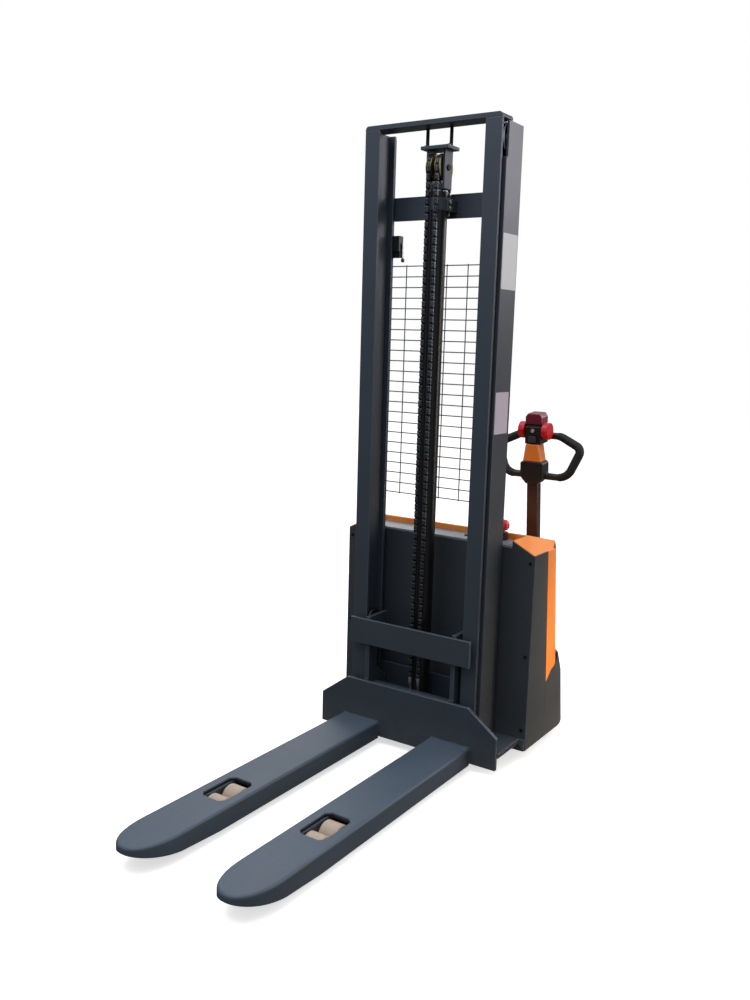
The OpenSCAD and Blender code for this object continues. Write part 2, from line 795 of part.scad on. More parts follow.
function screw_places() =
    [for (s = [-1, 1]) for (z = [deck_z * 0.15, deck_z * 0.5, post_z - 14])
        [s * (body_half - frame_inset - 6 - post_w / 2), z]];

module front_cover() {
    edge_z = shoulder_z - seam;
    color("#30363d") difference() {
        union() {
            along_y([body_y, body_y + cover_t]) difference() {
                shoulder_profile(hood_t + seam);
                translate([-body_w, -eps]) square([2 * body_w, beam_top_z + seam + eps]);
                translate([-deck_half, deck_z - deck_t - seam]) square([2 * deck_half, deck_z]);
            }
            box([-body_half, body_half], [body_y, body_y + cover_t],
                [beam_top_z + seam, shoulder_z - hood_t - seam]);
            both_sides() along_x([body_half - cover_t, body_half])
                polygon([[body_y, body_z], [stripe_y - seam, body_z], [stripe_y - seam, skirt_side_z],
                    [hood_y - seam, edge_z], [body_y, edge_z]]);
        }
        for (at = screw_places()) y_rod(3.2, at[0], [body_y - eps, body_y + cover_t + eps], at[1]);
        y_rod(12, 0, [body_y - eps, body_y + cover_t + eps], pipe_z);
    }
}

module deck_cover() {
    color("#50565d") box([-deck_half + seam, deck_half - seam], [body_y, hood_y - seam],
        [deck_z - deck_t, deck_z]);
}

module slab(z, half, rear, r) {
    translate([0, 0, z - eps]) linear_extrude(height = eps) body_plan(half, body_y - 10, rear, r);
}

module hood_shape(inset) {
    half = body_half - inset;
    hull() {
        slab(hood_z + 2 * eps, half, hood_rear_y - inset, hood_r - inset);
        slab(skirt_side_z - 4, half, hood_foot_y - inset, hood_foot_r - inset);
    }
}

module hood() {
    t = hood_t;
    tail_z = hood_z - hood_fall;
    color("#f08a3c") difference() {
        intersection() {
            hood_shape(0);
            along_x([-body_half, body_half]) polygon([[body_y, hood_z], [body_y, shoulder_z],
                [hood_y, shoulder_z], [stripe_y, skirt_side_z], [knee_y, knee_z],
                [hood_foot_y, skirt_top_z], [hood_foot_y, tail_z], [hood_rear_y, tail_z],
                [hood_y, hood_z]]);
            along_y([body_y, hood_foot_y]) shoulder_profile(0);
        }
        difference() {
            intersection() {
                hood_shape(t);
                along_x([-body_half, body_half]) polygon([[body_y - eps, hood_z - t], [body_y - eps, 0],
                    [hood_foot_y, 0], [hood_foot_y, tail_z - t], [hood_rear_y, tail_z - t],
                    [hood_y, hood_z - t]]);
                along_y([body_y - eps, hood_foot_y]) shoulder_profile(t);
            }
            box([-deck_half - t, deck_half + t], [body_y + frame_inset, hood_y + t],
                [deck_z - 12, hood_z]);
        }
        box([-deck_half, deck_half], [body_y - eps, hood_y], [0, hood_z + eps]);
    }
}

module skirt_shape(inset) {
    half = body_half - inset;
    rear = body_rear_y - inset;
    hull() {
        slab(body_z + (inset > 0 ? 0 : eps), half, rear, skirt_r - inset);
        slab(skirt_mid_z, half, rear - 4, skirt_top_r - 5 - inset);
        slab(skirt_top_z + 2 * eps, half - 3, rear - 4 - skirt_draft, skirt_top_r - inset);
    }
}

module rear_skirt() {
    t = cover_t;
    hole_r = cap_r + 6;
    color("#30363d") difference() {
        intersection() {
            skirt_shape(0);
            along_x([-body_half, body_half]) polygon([[stripe_y, body_z], [body_rear_y, body_z],
                [body_rear_y, skirt_rear_z], [hood_foot_y, skirt_top_z - seam],
                [knee_y, knee_z - seam], [stripe_y, skirt_side_z - seam]]);
        }
        intersection() {
            skirt_shape(t);
            along_x([-body_half, body_half]) polygon([[stripe_y - eps, 0], [body_rear_y, 0],
                [body_rear_y, skirt_rear_z - t], [hood_foot_y + seam, skirt_top_z - t - seam],
                [hood_foot_y + seam, skirt_top_z + eps], [stripe_y - eps, skirt_top_z + eps]]);
        }
        z_rod(hole_r, drive_x, drive_y, [skirt_rear_z - 30, skirt_top_z + eps]);
        box([drive_x - hole_r, drive_x + hole_r], [hood_rear_y, drive_y],
            [skirt_rear_z - 30, skirt_top_z + eps]);
    }
}

module cover_screws() {
    color("#b9bcbf") for (at = screw_places()) {
        y_rod(6, at[0], [body_y - 3, body_y], at[1]);
        y_rod(3, at[0], [body_y - eps, body_y + 11], at[1]);
    }
}

// Inside the body

module batteries() {
    color("#26282b") both_sides() {
        x = [battery_x, body_half - frame_inset - 30];
        z = [floor_z + floor_t, floor_z + floor_t + battery_h];
        box(x, [bay_y, bay_y + battery_l], z);
        for (post_x = [x[0] + 36, x[1] - 36]) z_rod(9, post_x, bay_y + 30, [z[1], z[1] + 16]);
    }
}

module pump_unit() {
    base = floor_z + floor_t;
    color("#3d4247") {
        difference() {
            box([-55, 55], [bay_y, bay_y + 90], [base, base + 90]);
            y_rod(7 + snug, 0, [bay_y - eps, bay_y + 40], pipe_z);
        }
        z_rod(42, 0, bay_y + 45, [base + 90, base + 230]);
        box([-85, 85], [bay_y + 92, rear_wall_y - 8], [base, base + 190]);
    }
}

module motor_controller() {
    z = rear_deck_z + floor_t;
    x = [-320, -150];
    color("#8b9094") {
        box(x, [rear_wall_y + 10, rear_wall_y + 22], [z, z + 120]);
        for (i = [0 : 7]) box([x[0] + 4 + i * 22, x[0] + 12 + i * 22],
            [rear_wall_y + 22, rear_wall_y + 44], [z + 6, z + 114]);
    }
}

module hydraulic_pipe() {
    y = [cyl_y + cyl_r - 4, bay_y + 30];
    color("#6f7478") difference() {
        union() {
            y_rod(7, 0, y, pipe_z);
            translate([0, cyl_y + cyl_r + 18, pipe_z]) rotate([90, 0, 0])
                cylinder(r = 12, h = 10, $fn = 6);
            translate([0, bay_y - seam, pipe_z]) rotate([90, 0, 0]) cylinder(r = 12, h = 10, $fn = 6);
        }
        y_rod(4.5, 0, [y[0] - eps, y[1] + eps], pipe_z);
    }
}

module limit_switch() {
    x = [-outer_edge_x + 0.5, -outer_edge_x + 38];
    tip_x = [-inner_edge_x + 1.5, x[1]];
    z = [outer_top_z - 407, outer_top_z - 332];
    color("#1d1f22") {
        box([-outer_edge_x - 10, x[1]], [outer_rear_y, outer_rear_y + 3], z);
        box(x, [inner_rear_y + 2, outer_rear_y], [z[0] + 14, z[1]]);
        box(tip_x, [inner_rear_y - 8, inner_rear_y + 3], [z[0] + 20, z[1]]);
        box(tip_x, [inner_rear_y - 2, outer_rear_y], z);
    }
}

// Deck fittings

module deck_fittings() {
    color("#d8b52c") difference() {
        z_rod(20, estop_at[0], estop_at[1], [deck_z, deck_z + 28]);
        z_rod(8 + run, estop_at[0], estop_at[1], [deck_z + 1, deck_z + 29]);
    }
    color("#8f9296") difference() {
        z_rod(11, key_at[0], key_at[1], [deck_z, deck_z + 9]);
        z_rod(3 + run, key_at[0], key_at[1], [deck_z + 1, deck_z + 10]);
    }
    color("#17191b") box([gauge_at[0] - 23, gauge_at[0] + 23], [gauge_at[1] - 13, gauge_at[1] + 13],
        [deck_z, deck_z + 5]);
}

module estop_button() {
    stem = [deck_z + 8, deck_z + 36];
    color("#c8202a") {
        z_rod(8, estop_at[0], estop_at[1], stem);
        translate([estop_at[0], estop_at[1], deck_z + 35]) rotate_extrude()
            polygon([[0, 0], [16, 0], [24, 9], [24, 24], [18, 34], [9, 37], [0, 37]]);
    }
}

module key() {
    color("#a9acae") translate([key_at[0], key_at[1], 0]) {
        z_rod(3, 0, 0, [deck_z + 2, deck_z + 14]);
        box([-1.5, 1.5], [-11, 11], [deck_z + 12, deck_z + 34]);
    }
}

// Carriage

module carriage_plate() {
    x = plate_w / 2;
    top = plate_z + plate_h;
    color("#2f353c") along_y([0, plate_t]) difference() {
        polygon([[-x, plate_z], [x, plate_z], [x, top - plate_cut_h], [x - plate_cut_w, top],
            [-x + plate_cut_w, top], [-x, top - plate_cut_h]]);
        for (s = [-1, 1]) translate([s * fork_x - leg_w / 2 - notch_gap, 0])
            square([leg_w + 2 * notch_gap, fork_under_z - 2]);
    }
}

module carriage_bar() {
    color("#2f353c") box([-bar_w / 2, bar_w / 2], [bar_y, bar_y + bar_t], [bar_z, bar_z + bar_h]);
}

module carriage_frame() {
    rear = channel_y + 32;
    waist_y = channel_y - 30;
    step_z = plate_z + plate_h + 6;
    low = beam_top_z + 10;
    high = carriage_roller_z[1] + 40;
    color("#2b3036") {
        both_sides() {
            along_x([side_x - side_t, side_x]) polygon([[plate_t, low], [rear, low],
                [rear, carriage_roller_z[0] + 60], [waist_y, carriage_roller_z[0] + 110],
                [waist_y, carriage_roller_z[1] - 100], [rear, carriage_roller_z[1] - 50],
                [rear, high], [bar_y + bar_t, high], [bar_y + bar_t, step_z], [plate_t, step_z]]);
            for (z = carriage_roller_z) x_rod(stub_r, [side_x, carriage_roller_x[1] + 2], channel_y, z);
        }
        difference() {
            box([-side_x + side_t, side_x - side_t], [front_run_y - 16, cyl_y - cyl_r - clamp_t - 1],
                [anchor_z, anchor_z + anchor_h]);
            both_sides() z_rod(anchor_r + snug, chain_x, front_run_y, [anchor_z - eps, anchor_z + anchor_h + eps]);
        }
    }
}

module front_chain_anchors() {
    top = anchor_z + anchor_h;
    color("#8f9296") both_sides() {
        z_rod(anchor_r, chain_x, front_run_y, [anchor_z - 16, top + 24]);
        translate([chain_x, front_run_y, anchor_z - 10]) cylinder(r = 8, h = 10, $fn = 6);
        box([chain_x - chain_w / 2, chain_x + chain_w / 2],
            [front_run_y - chain_h / 2, front_run_y + chain_h / 2], [top + 20, front_run_z]);
    }
}

module carriage_rollers_upper() {
    both_sides() mast_roller(channel_r, carriage_roller_x, channel_y, carriage_roller_z[1]);
}

module carriage_rollers_lower() {
    both_sides() mast_roller(channel_r, carriage_roller_x, channel_y, carriage_roller_z[0]);
}

// Drive unit

module drive_gearbox() {
    case_x = [drive_w / 2 + 4, drive_w / 2 + 54];
    color("#3b4045") translate([drive_x, drive_y, 0]) {
        z_rod(neck_r, 0, 0, [rear_deck_z - seam - eps, rear_deck_z + floor_t + 4]);
        z_rod(flange_r, 0, 0, [turntable_z, rear_deck_z - seam]);
        along_x(case_x) {
            translate([0, drive_r]) circle(r = 58, $fn = 64);
            translate([-58, drive_r]) square([116, turntable_z - drive_r]);
        }
        x_rod(20, [-drive_w / 2 + 4, case_x[0]], 0, drive_r);
    }
}

module drive_wheel() {
    half = drive_w / 2;
    rim_r2 = drive_r - 28;
    color("#2a2724") translate([drive_x, drive_y, drive_r]) rotate([0, 90, 0]) rotate_extrude($fn = 96)
        polygon([[20 + run, -half + 4], [34, -half + 4], [34, -half + 14], [rim_r2, -half + 14],
            [rim_r2, -half], [drive_r - 5, -half], [drive_r, -half + 5], [drive_r, half - 5],
            [drive_r - 5, half], [rim_r2, half], [rim_r2, half - 14], [34, half - 14], [34, half + 2],
            [20 + run, half + 2]]);
}

module drive_motor() {
    base = rear_deck_z + floor_t + 4;
    color("#202327") translate([drive_x, drive_y, 0]) {
        z_rod(motor_r, 0, 0, [base, base + 20]);
        z_rod(cap_r, 0, 0, [base + 20, cap_top_z]);
    }
}

module tiller_bracket() {
    foot = [cap_top_z, cap_top_z + 12];
    ear_r = 22;
    color("#1f2225") translate([drive_x, 0, 0]) {
        z_rod(cap_r, 0, drive_y, foot);
        box([-ear_x[1], ear_x[1]], [drive_y, pivot_y + 10], foot);
        both_sides() along_x(ear_x) {
            translate([pivot_y, pivot_z]) circle(r = ear_r);
            translate([pivot_y - ear_r, foot[0]]) square([2 * ear_r, pivot_z - foot[0]]);
        }
        x_rod(pivot_r, [-ear_x[1] - 4, ear_x[1] + 4], pivot_y, pivot_z);
    }
}

// Caster

module caster_fork() {
    leg_x = [caster_w / 2 + 3, caster_w / 2 + 9];
    top = caster_top_z - seam;
    color("#9a9da0") translate([-caster_x, drive_y, 0]) {
        z_rod(caster_pin_r, 0, 0, [top - 8, rear_deck_z - 8]);
        z_rod(34, 0, 0, [top - 14, top]);
        box([-leg_x[1], leg_x[1]], [-30, 30], [top - 22, top - 14]);
        both_sides() along_x(leg_x) polygon([[-30, top - 14], [30, top - 14],
            [trail + 20, caster_r + 12], [trail + 20, caster_r - 16], [trail - 20, caster_r - 16],
            [-30, top - 50]]);
        x_rod(8, [-leg_x[1] - 3, leg_x[1] + 3], trail, caster_r);
    }
}

module caster_wheel() {
    half = caster_w / 2;
    color("#5a4a3c") translate([-caster_x, drive_y + trail, caster_r]) rotate([0, 90, 0])
        rotate_extrude($fn = 64) polygon([[8 + run, -half - 2], [18, -half - 2], [18, -half + 8],
            [caster_r - 20, -half + 8], [caster_r - 20, -half], [caster_r - 5, -half],
            [caster_r, -half + 6], [caster_r, half - 6], [caster_r - 5, half], [caster_r - 20, half],
            [caster_r - 20, half - 8], [18, half - 8], [18, half + 2], [8 + run, half + 2]]);
}

// Tiller: its own X is the machine's, and its own Z runs up along the arm

module on_tiller() {
    translate([drive_x, pivot_y, pivot_z]) rotate([lean, 0, 0]) children();
}

module tiller_arm() {
    color("#2a2422") on_tiller() difference() {
        union() {
            x_rod(arm_d / 2 + 1, [-arm_w / 2, arm_w / 2], 0, 0);
            intersection() {
                along_y([-arm_d / 2, arm_d / 2]) polygon([[-arm_w / 2, 0], [arm_w / 2, 0],
                    [arm_top_w / 2, hub_w + 30], [-arm_top_w / 2, hub_w + 30]]);
                box([-arm_w, arm_w], [-arm_d, arm_d], [0, hub_w - 0.02]);
            }
        }
        x_rod(pivot_r + run, [-arm_w, arm_w], 0, 0);
    }
}

// Straight bar of the grip loop between two points in its plane. It is slightly thinner than the
// bends and reaches into them.
module loop_bar(a, b) {
    reach = 2 * (b - a) / norm(b - a);
    span = b - a + 2 * reach;
    translate([a[0] - reach[0], 0, a[1] - reach[1]]) rotate([0, atan2(span[0], span[1]), 0])
        cylinder(r = grip_r - bar_step, h = norm(span));
}

// Bend of the grip loop round a point, from one angle over another one
module loop_bend(at, r, from, turn) {
    translate([at[0], 0, at[1]]) rotate([90, 0, 0]) rotate([0, 0, from])
        rotate_extrude(angle = turn, $fn = 64) translate([r, 0]) circle(r = grip_r, $fn = 24);
}

// The +X half of the loop runs through these corners, from its lower bar to its upper one
module grip_loop() {
    x = loop_w / 2 - grip_r;
    corner = [[0, 0], [0.76 * x, 0], [x + 6, 0.73 * loop_h], [0.5 * x, loop_h], [0, loop_h]];
    r = [0, 55, 26, 60, 0];
    way = [for (i = [0 : 3]) (corner[i + 1] - corner[i]) / norm(corner[i + 1] - corner[i])];
    heading = [for (w = way) atan2(w[1], w[0])];
    turn = [0, heading[1] - heading[0], heading[2] - heading[1], heading[3] - heading[2], 0];
    cut = [for (i = [0 : 4]) r[i] * tan(turn[i] / 2)];
    translate([0, loop_back, loop_low_w]) rotate([-loop_tilt, 0, 0]) {
        for (z = [0, loop_h]) {
            half = z == 0 ? corner[1][0] - cut[1] : corner[3][0] - cut[3];
            x_rod(grip_r - bar_step, [-half - 2, half + 2], 0, z);
        }
        both_sides() {
            for (i = [1 : 2])
                loop_bar(corner[i] + cut[i] * way[i], corner[i + 1] - cut[i + 1] * way[i]);
            for (i = [1 : 3])
                loop_bend(corner[i] - cut[i] * way[i - 1] + r[i] * [-way[i - 1][1], way[i - 1][0]],
                    r[i], heading[i - 1] - 90, turn[i]);
        }
    }
}

module tiller_head() {
    neck = [head_w - 18, head_w];
    core = 18;
    color("#1b1c1e") on_tiller() difference() {
        union() {
            along_y([-28, loop_back + grip_r]) polygon([[-24, hub_w], [24, hub_w],
                [hub_half, hub_w + 26], [hub_half, band_w - 8], [neck_foot + 1, band_w - seam],
                [-neck_foot - 1, band_w - seam], [-hub_half, band_w - 8], [-hub_half, hub_w + 26]]);
            box([-core, core], [-core, core], [band_w - eps, pad_w + eps]);
            box([-pad_half, pad_half], [pad_front, pad_rear], [pad_w + seam, neck[0]]);
            box([-pad_half + 6, pad_half - 6], [pad_front + 10, pad_rear - 8], [neck[0] - eps, neck[1]]);
            grip_loop();
        }
        x_rod(6 + run, [-pad_half - eps, pad_half + eps], thumb_v, thumb_w);
        x_rod(9 + seam, [-15 - seam, 15 + seam], pad_front + 2, rocker_w);
        y_rod(7 + run, 0, [pad_front - eps, pad_front + 5.5], horn_w);
    }
}

module head_cover() {
    half = 18 + seam;
    color("#e0812f") on_tiller() difference() {
        along_y([cover_front, cover_rear])
            polygon([[-neck_foot, band_w], [neck_foot, band_w], [neck_top, pad_w], [-neck_top, pad_w]]);
        box([-half, half], [-half, half], [band_w - eps, pad_w + eps]);
    }
}

module thumb_wheels() {
    color("#d01c28") on_tiller() {
        x_rod(6, [-pad_half - 10, pad_half + 10], thumb_v, thumb_w);
        both_sides() {
            x_rod(thumb_r, [pad_half + 3, pad_half + 27], thumb_v, thumb_w);
            box([pad_half + 6, pad_half + 24], [thumb_v - thumb_r - 5, thumb_v],
                [thumb_w - 8, thumb_w + 8]);
        }
    }
}

module safety_button() {
    neck_x = pad_half - 6 + 0.1;
    neck_y = [pad_front + 10 - 0.1, pad_rear - 8 + 0.1];
    bottom = tiller_l - button_h;
    color("#8f1a26") on_tiller() difference() {
        along_y([pad_front + 6, pad_rear - 4]) polygon([[-34, bottom], [34, bottom],
            [34, tiller_l - 14], [24, tiller_l], [-24, tiller_l], [-34, tiller_l - 14]]);
        box([-neck_x, neck_x], neck_y, [bottom - eps, tiller_l - 12]);
    }
}

module lift_rocker() {
    v = pad_front + 2;
    color("#3a3c3f") on_tiller() {
        x_rod(9, [-15, 15], v, rocker_w);
        box([-15, 15], [v - 11, v - 5], [rocker_w - 12, rocker_w + 12]);
    }
}

module horn_button() {
    color("#c9ad93") on_tiller() y_rod(7, 0, [pad_front - 4, pad_front + 2], horn_w);
}

place() base_frame();
place() support_leg_left();
place() support_leg_right();
place() load_roller_axles();
place() outer_upright_left();
place() outer_upright_right();
place() outer_crossbeam();
place() lift_cylinder();
place() rear_chain_anchors();
place() mesh_guard();
place() front_cover();
place() deck_cover();
place() hood();
place() rear_skirt();
place() batteries();
place() pump_unit();
place() motor_controller();
place() hydraulic_pipe();
place() limit_switch();
place() deck_fittings();
place() cover_screws();
place() outer_mast_rollers();
place() inner_upright_left();
place() inner_upright_right();
place() inner_crossbeams();
place() piston_rod();
place() crosshead();
place() crosshead_pins();
place() chain_wheels();
place() inner_mast_rollers();
place() chain_wraps();
place() chain_front_runs();
place() chain_rear_runs();
place() carriage_plate();
place() carriage_bar();
place() carriage_frame();
place() front_chain_anchors();
place() fork_left();
place() fork_right();
place() carriage_rollers_upper();
place() carriage_rollers_lower();
place() load_roller_left_front();
place() load_roller_left_rear();
place() load_roller_right_front();
place() load_roller_right_rear();
place() drive_gearbox();
place() drive_motor();
place() tiller_bracket();
place() drive_wheel();
place() caster_fork();
place() caster_wheel();
place() tiller_arm();
place() tiller_head();
place() head_cover();
place() thumb_wheels();
place() safety_button();
place() lift_rocker();
place() horn_button();
place() estop_button();
place() key();
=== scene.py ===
# %% [markdown]
# An electric walkie stacker in Blender. The construction comes from the CAD model: every plate,
# roller and wheel already has its size and place there. This notebook adds what CAD leaves out:
# rounded edges, welds, chain links, moulded covers and the finish of each surface. All lengths are
# in metres, X runs across the machine, the forks point to -Y and Z is up.

import json
import math

import bmesh
import bpy
from mathutils import Matrix, Vector
from mathutils.geometry import tessellate_polygon


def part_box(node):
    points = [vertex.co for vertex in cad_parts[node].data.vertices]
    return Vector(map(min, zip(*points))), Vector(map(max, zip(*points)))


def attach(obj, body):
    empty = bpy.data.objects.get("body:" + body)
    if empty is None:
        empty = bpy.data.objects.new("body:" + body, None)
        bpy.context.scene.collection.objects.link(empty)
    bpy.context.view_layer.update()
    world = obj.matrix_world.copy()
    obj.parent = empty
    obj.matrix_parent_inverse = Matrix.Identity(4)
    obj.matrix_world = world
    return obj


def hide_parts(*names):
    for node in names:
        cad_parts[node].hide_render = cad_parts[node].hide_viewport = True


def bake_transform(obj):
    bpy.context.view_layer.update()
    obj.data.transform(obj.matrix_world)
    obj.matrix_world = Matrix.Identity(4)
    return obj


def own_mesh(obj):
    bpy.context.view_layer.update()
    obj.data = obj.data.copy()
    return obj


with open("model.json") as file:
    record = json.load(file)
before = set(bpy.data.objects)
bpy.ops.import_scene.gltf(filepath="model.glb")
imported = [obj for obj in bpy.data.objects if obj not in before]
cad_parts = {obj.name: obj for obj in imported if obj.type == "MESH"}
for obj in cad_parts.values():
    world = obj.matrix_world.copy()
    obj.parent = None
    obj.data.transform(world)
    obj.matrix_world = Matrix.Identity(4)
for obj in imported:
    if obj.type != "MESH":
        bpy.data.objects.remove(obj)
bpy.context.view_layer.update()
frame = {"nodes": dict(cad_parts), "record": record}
record = frame["record"]
body_of = {node: body for body, nodes in record["behaviour"]["bodies"].items() for node in nodes}
scene = bpy.context.scene
MM = 0.001

# %% [markdown]
# The camera stands where the photographer stood: about 1.5 m over the floor, in front of the forks
# and to their right. Its three angles turn a level camera that looks along +Y. The matrix is built
# from them step by step, because that is easier to follow than Euler angles.

# %% The camera
CAMERA_PLACE = Vector((1.7027, -2.5363, 1.4800))
CAMERA_YAW = math.radians(33.76)
CAMERA_PITCH = math.radians(-9.68)
CAMERA_ROLL = math.radians(1.60)
CAMERA_LENS = 34.2


def camera_turn(yaw, pitch, roll):
    """The camera's right, up and backward directions, as a rotation matrix."""
    forward = Vector((-math.sin(yaw) * math.cos(pitch), math.cos(yaw) * math.cos(pitch), math.sin(pitch)))
    level_right = Vector((math.cos(yaw), math.sin(yaw), 0))
    level_up = level_right.cross(forward)
    right = math.cos(roll) * level_right + math.sin(roll) * level_up
    up = -math.sin(roll) * level_right + math.cos(roll) * level_up
    return Matrix((right, up, -forward)).transposed()


camera = bpy.data.objects.new("camera", bpy.data.cameras.new("camera"))
camera.data.lens = CAMERA_LENS
camera.data.sensor_width = 36
camera.data.clip_end = 60
turn = camera_turn(CAMERA_YAW, CAMERA_PITCH, CAMERA_ROLL)
camera.matrix_world = Matrix.Translation(CAMERA_PLACE) @ turn.to_4x4()
scene.collection.objects.link(camera)
scene.camera = camera
print("camera at", tuple(round(c, 3) for c in CAMERA_PLACE))

# %% [markdown]
# The photograph is a cut-out on white: the tops of the forks are pale, the faces that look down or
# to the side are almost black. So the light comes from above, out of a sky that is bright overhead
# and dim near the floor, with a large lamp over the forks and one far behind on the right, whose
# reflection is the pale sheen high on the mast's side. Two warm lamps at the side, one of them low
# and narrow, lift the side of the mast and of the body. The camera itself sees plain white. The
# floor takes shadows but throws no light back up. The Standard view keeps the paint's colours.

# %% Colours and lights


def linear(hex_colour):
    """Turns an sRGB hex colour into the linear numbers that Blender's sockets take."""
    parts = [int(hex_colour[i:i + 2], 16) / 255 for i in (1, 3, 5)]
    curve = [c / 12.92 if c <= 0.04045 else ((c + 0.055) / 1.055) ** 2.4 for c in parts]
    return (*curve, 1.0)


def feed(tree, node, values):
    """Gives a node its own settings and its inputs' values. Nodes and sockets are linked, a list
    of nodes one after the other."""
    for name, value in values.items():
        if isinstance(value, list):
            for part in value:
                feed(tree, node, {name: part})
        elif isinstance(value, bpy.types.Node):
            tree.links.new(next(output for output in value.outputs if output.enabled), node.inputs[name])
        elif isinstance(value, bpy.types.NodeSocket):
            tree.links.new(value, node.inputs[name])
        elif isinstance(name, str) and name in node.bl_rna.properties:
            setattr(node, name, value)
        else:
            node.inputs[name].default_value = value


def add(tree, kind, values=None):
    """Adds a node and feeds it."""
    node = tree.nodes.new(kind)
    feed(tree, node, values or {})
    return node


world = bpy.data.worlds.new("studio")
world.use_nodes = True
tree = world.node_tree
tree.nodes.clear()
view = add(tree, "ShaderNodeTexCoord")
up = add(tree, "ShaderNodeSeparateXYZ", {0: view.outputs["Generated"]})
ramp = add(tree, "ShaderNodeMapRange", {"Value": up.outputs["Z"], "From Min": -0.25, "From Max": 0.9,
    "To Min": 0.1, "To Max": 0.75})
sky = add(tree, "ShaderNodeBackground", {"Color": linear("#ffffff"), "Strength": ramp})
white = add(tree, "ShaderNodeBackground", {"Color": linear("#ffffff")})
rays = add(tree, "ShaderNodeLightPath")
seen = add(tree, "ShaderNodeMixShader", {0: rays.outputs["Is Camera Ray"], 1: sky, 2: white})
add(tree, "ShaderNodeOutputWorld", {"Surface": seen})
scene.world = world
scene.view_settings.view_transform = "Standard"

# name, place, target, size, watts, colour, spread in degrees
LAMPS = [
    ("lamp_over_forks", (-0.2, -1.4, 4.0), (0, -0.5, 0.2), 3.2, 105, "#dfeaff", 180),
    ("lamp_far_right", (2.9, 4.4, 3.2), (0.27, 0.3, 1.7), 2.2, 62, "#f6f4ff", 180),
    ("lamp_side_right", (3.3, 1.9, 1.1), (0.3, 0.5, 0.9), 1.6, 30, "#fff2e6", 180),
    ("lamp_low_right", (3.6, 1.3, 0.35), (0.39, 0.8, 0.3), 0.5, 1.8, "#ffe0c2", 22),
    ("lamp_rear_left", (-2.6, 3.2, 3.0), (0, 0.5, 0.8), 2.0, 40, "#ffffff", 180),
]
for name, place, target, size, watts, colour, spread in LAMPS:
    lamp = bpy.data.objects.new(name, bpy.data.lights.new(name, "AREA"))
    lamp.data.size = size
    lamp.data.energy = watts
    lamp.data.color = linear(colour)[:3]
    lamp.data.spread = math.radians(spread)
    aim = (Vector(target) - Vector(place)).to_track_quat("-Z", "Y")
    lamp.matrix_world = Matrix.Translation(Vector(place)) @ aim.to_matrix().to_4x4()
    scene.collection.objects.link(lamp)

floor = bpy.data.meshes.new("floor")
reach = 14
corners = [(-reach, -reach, 0), (reach, -reach, 0), (reach, reach, 0), (-reach, reach, 0)]
floor.from_pydata(corners, [], [(0, 1, 2, 3)])
floor = bpy.data.objects.new("floor", floor)
scene.collection.objects.link(floor)
floor.visible_diffuse = False
floor.visible_glossy = False
print("lamps:", len(LAMPS))

# %% [markdown]
# Every finish below starts from the real surface. A pattern reads Object coordinates, which are
# metres here, so a noise scale of 1 / size gives specks of that size. Values that are the same all
# over go straight on the shader's sockets, because an export would lose them behind a link.

# %% A new surface


def shade(hex_colour, factor):
    """The same colour, lighter or darker."""
    return (*(min(1.0, c * factor) for c in linear(hex_colour)[:3]), 1.0)


def surface(name, settings, cloud_size, detail, darker, lighter):
    """A material with its shader, its Object coordinates, a cloud and a tone that drifts with it."""
    material = bpy.data.materials.new(name)
    material.use_nodes = True
    tree = material.node_tree
    tree.nodes.clear()
    shader = add(tree, "ShaderNodeBsdfPrincipled", settings)
    add(tree, "ShaderNodeOutputMaterial", {"Surface": shader})
    place = add(tree, "ShaderNodeTexCoord").outputs["Object"]
    cloud = add(tree, "ShaderNodeTexNoise", {"Scale": 1 / cloud_size, "Detail": detail, "Vector": place})
    tone = add(tree, "ShaderNodeMix", {"data_type": "RGBA", 6: darker, 7: lighter, 0: cloud})
    return material, tree, shader, place, cloud, tone


def finished(tree, shader, base, gloss, bump):
    """Gives the shader its colour, its gloss and its relief."""
    gloss = add(tree, "ShaderNodeMapRange", dict(zip(("Value", "To Min", "To Max"), gloss)))
    bump = add(tree, "ShaderNodeBump", dict(zip(("Height", "Strength", "Distance"), bump)))
    feed(tree, shader, {"Base Color": base, "Roughness": gloss, "Normal": bump})


print("surfaces can be made")

# %% [markdown]
# Powder coat is polyester paint that is baked on as dust. It flows into a skin with a faint orange
# peel of 1 to 2 mm, which is drawn at 5 mm here so that it still shows in the render. The coat is
# a little thicker in one place than in another, so tone and gloss drift over a hand's width. Near
# the floor the paint carries dust. Its refraction is that of most resins, 1.5.

# %% Powder coat
PEEL = 5 * MM
DRIFT = 220 * MM
DUST_LINE = 0.16


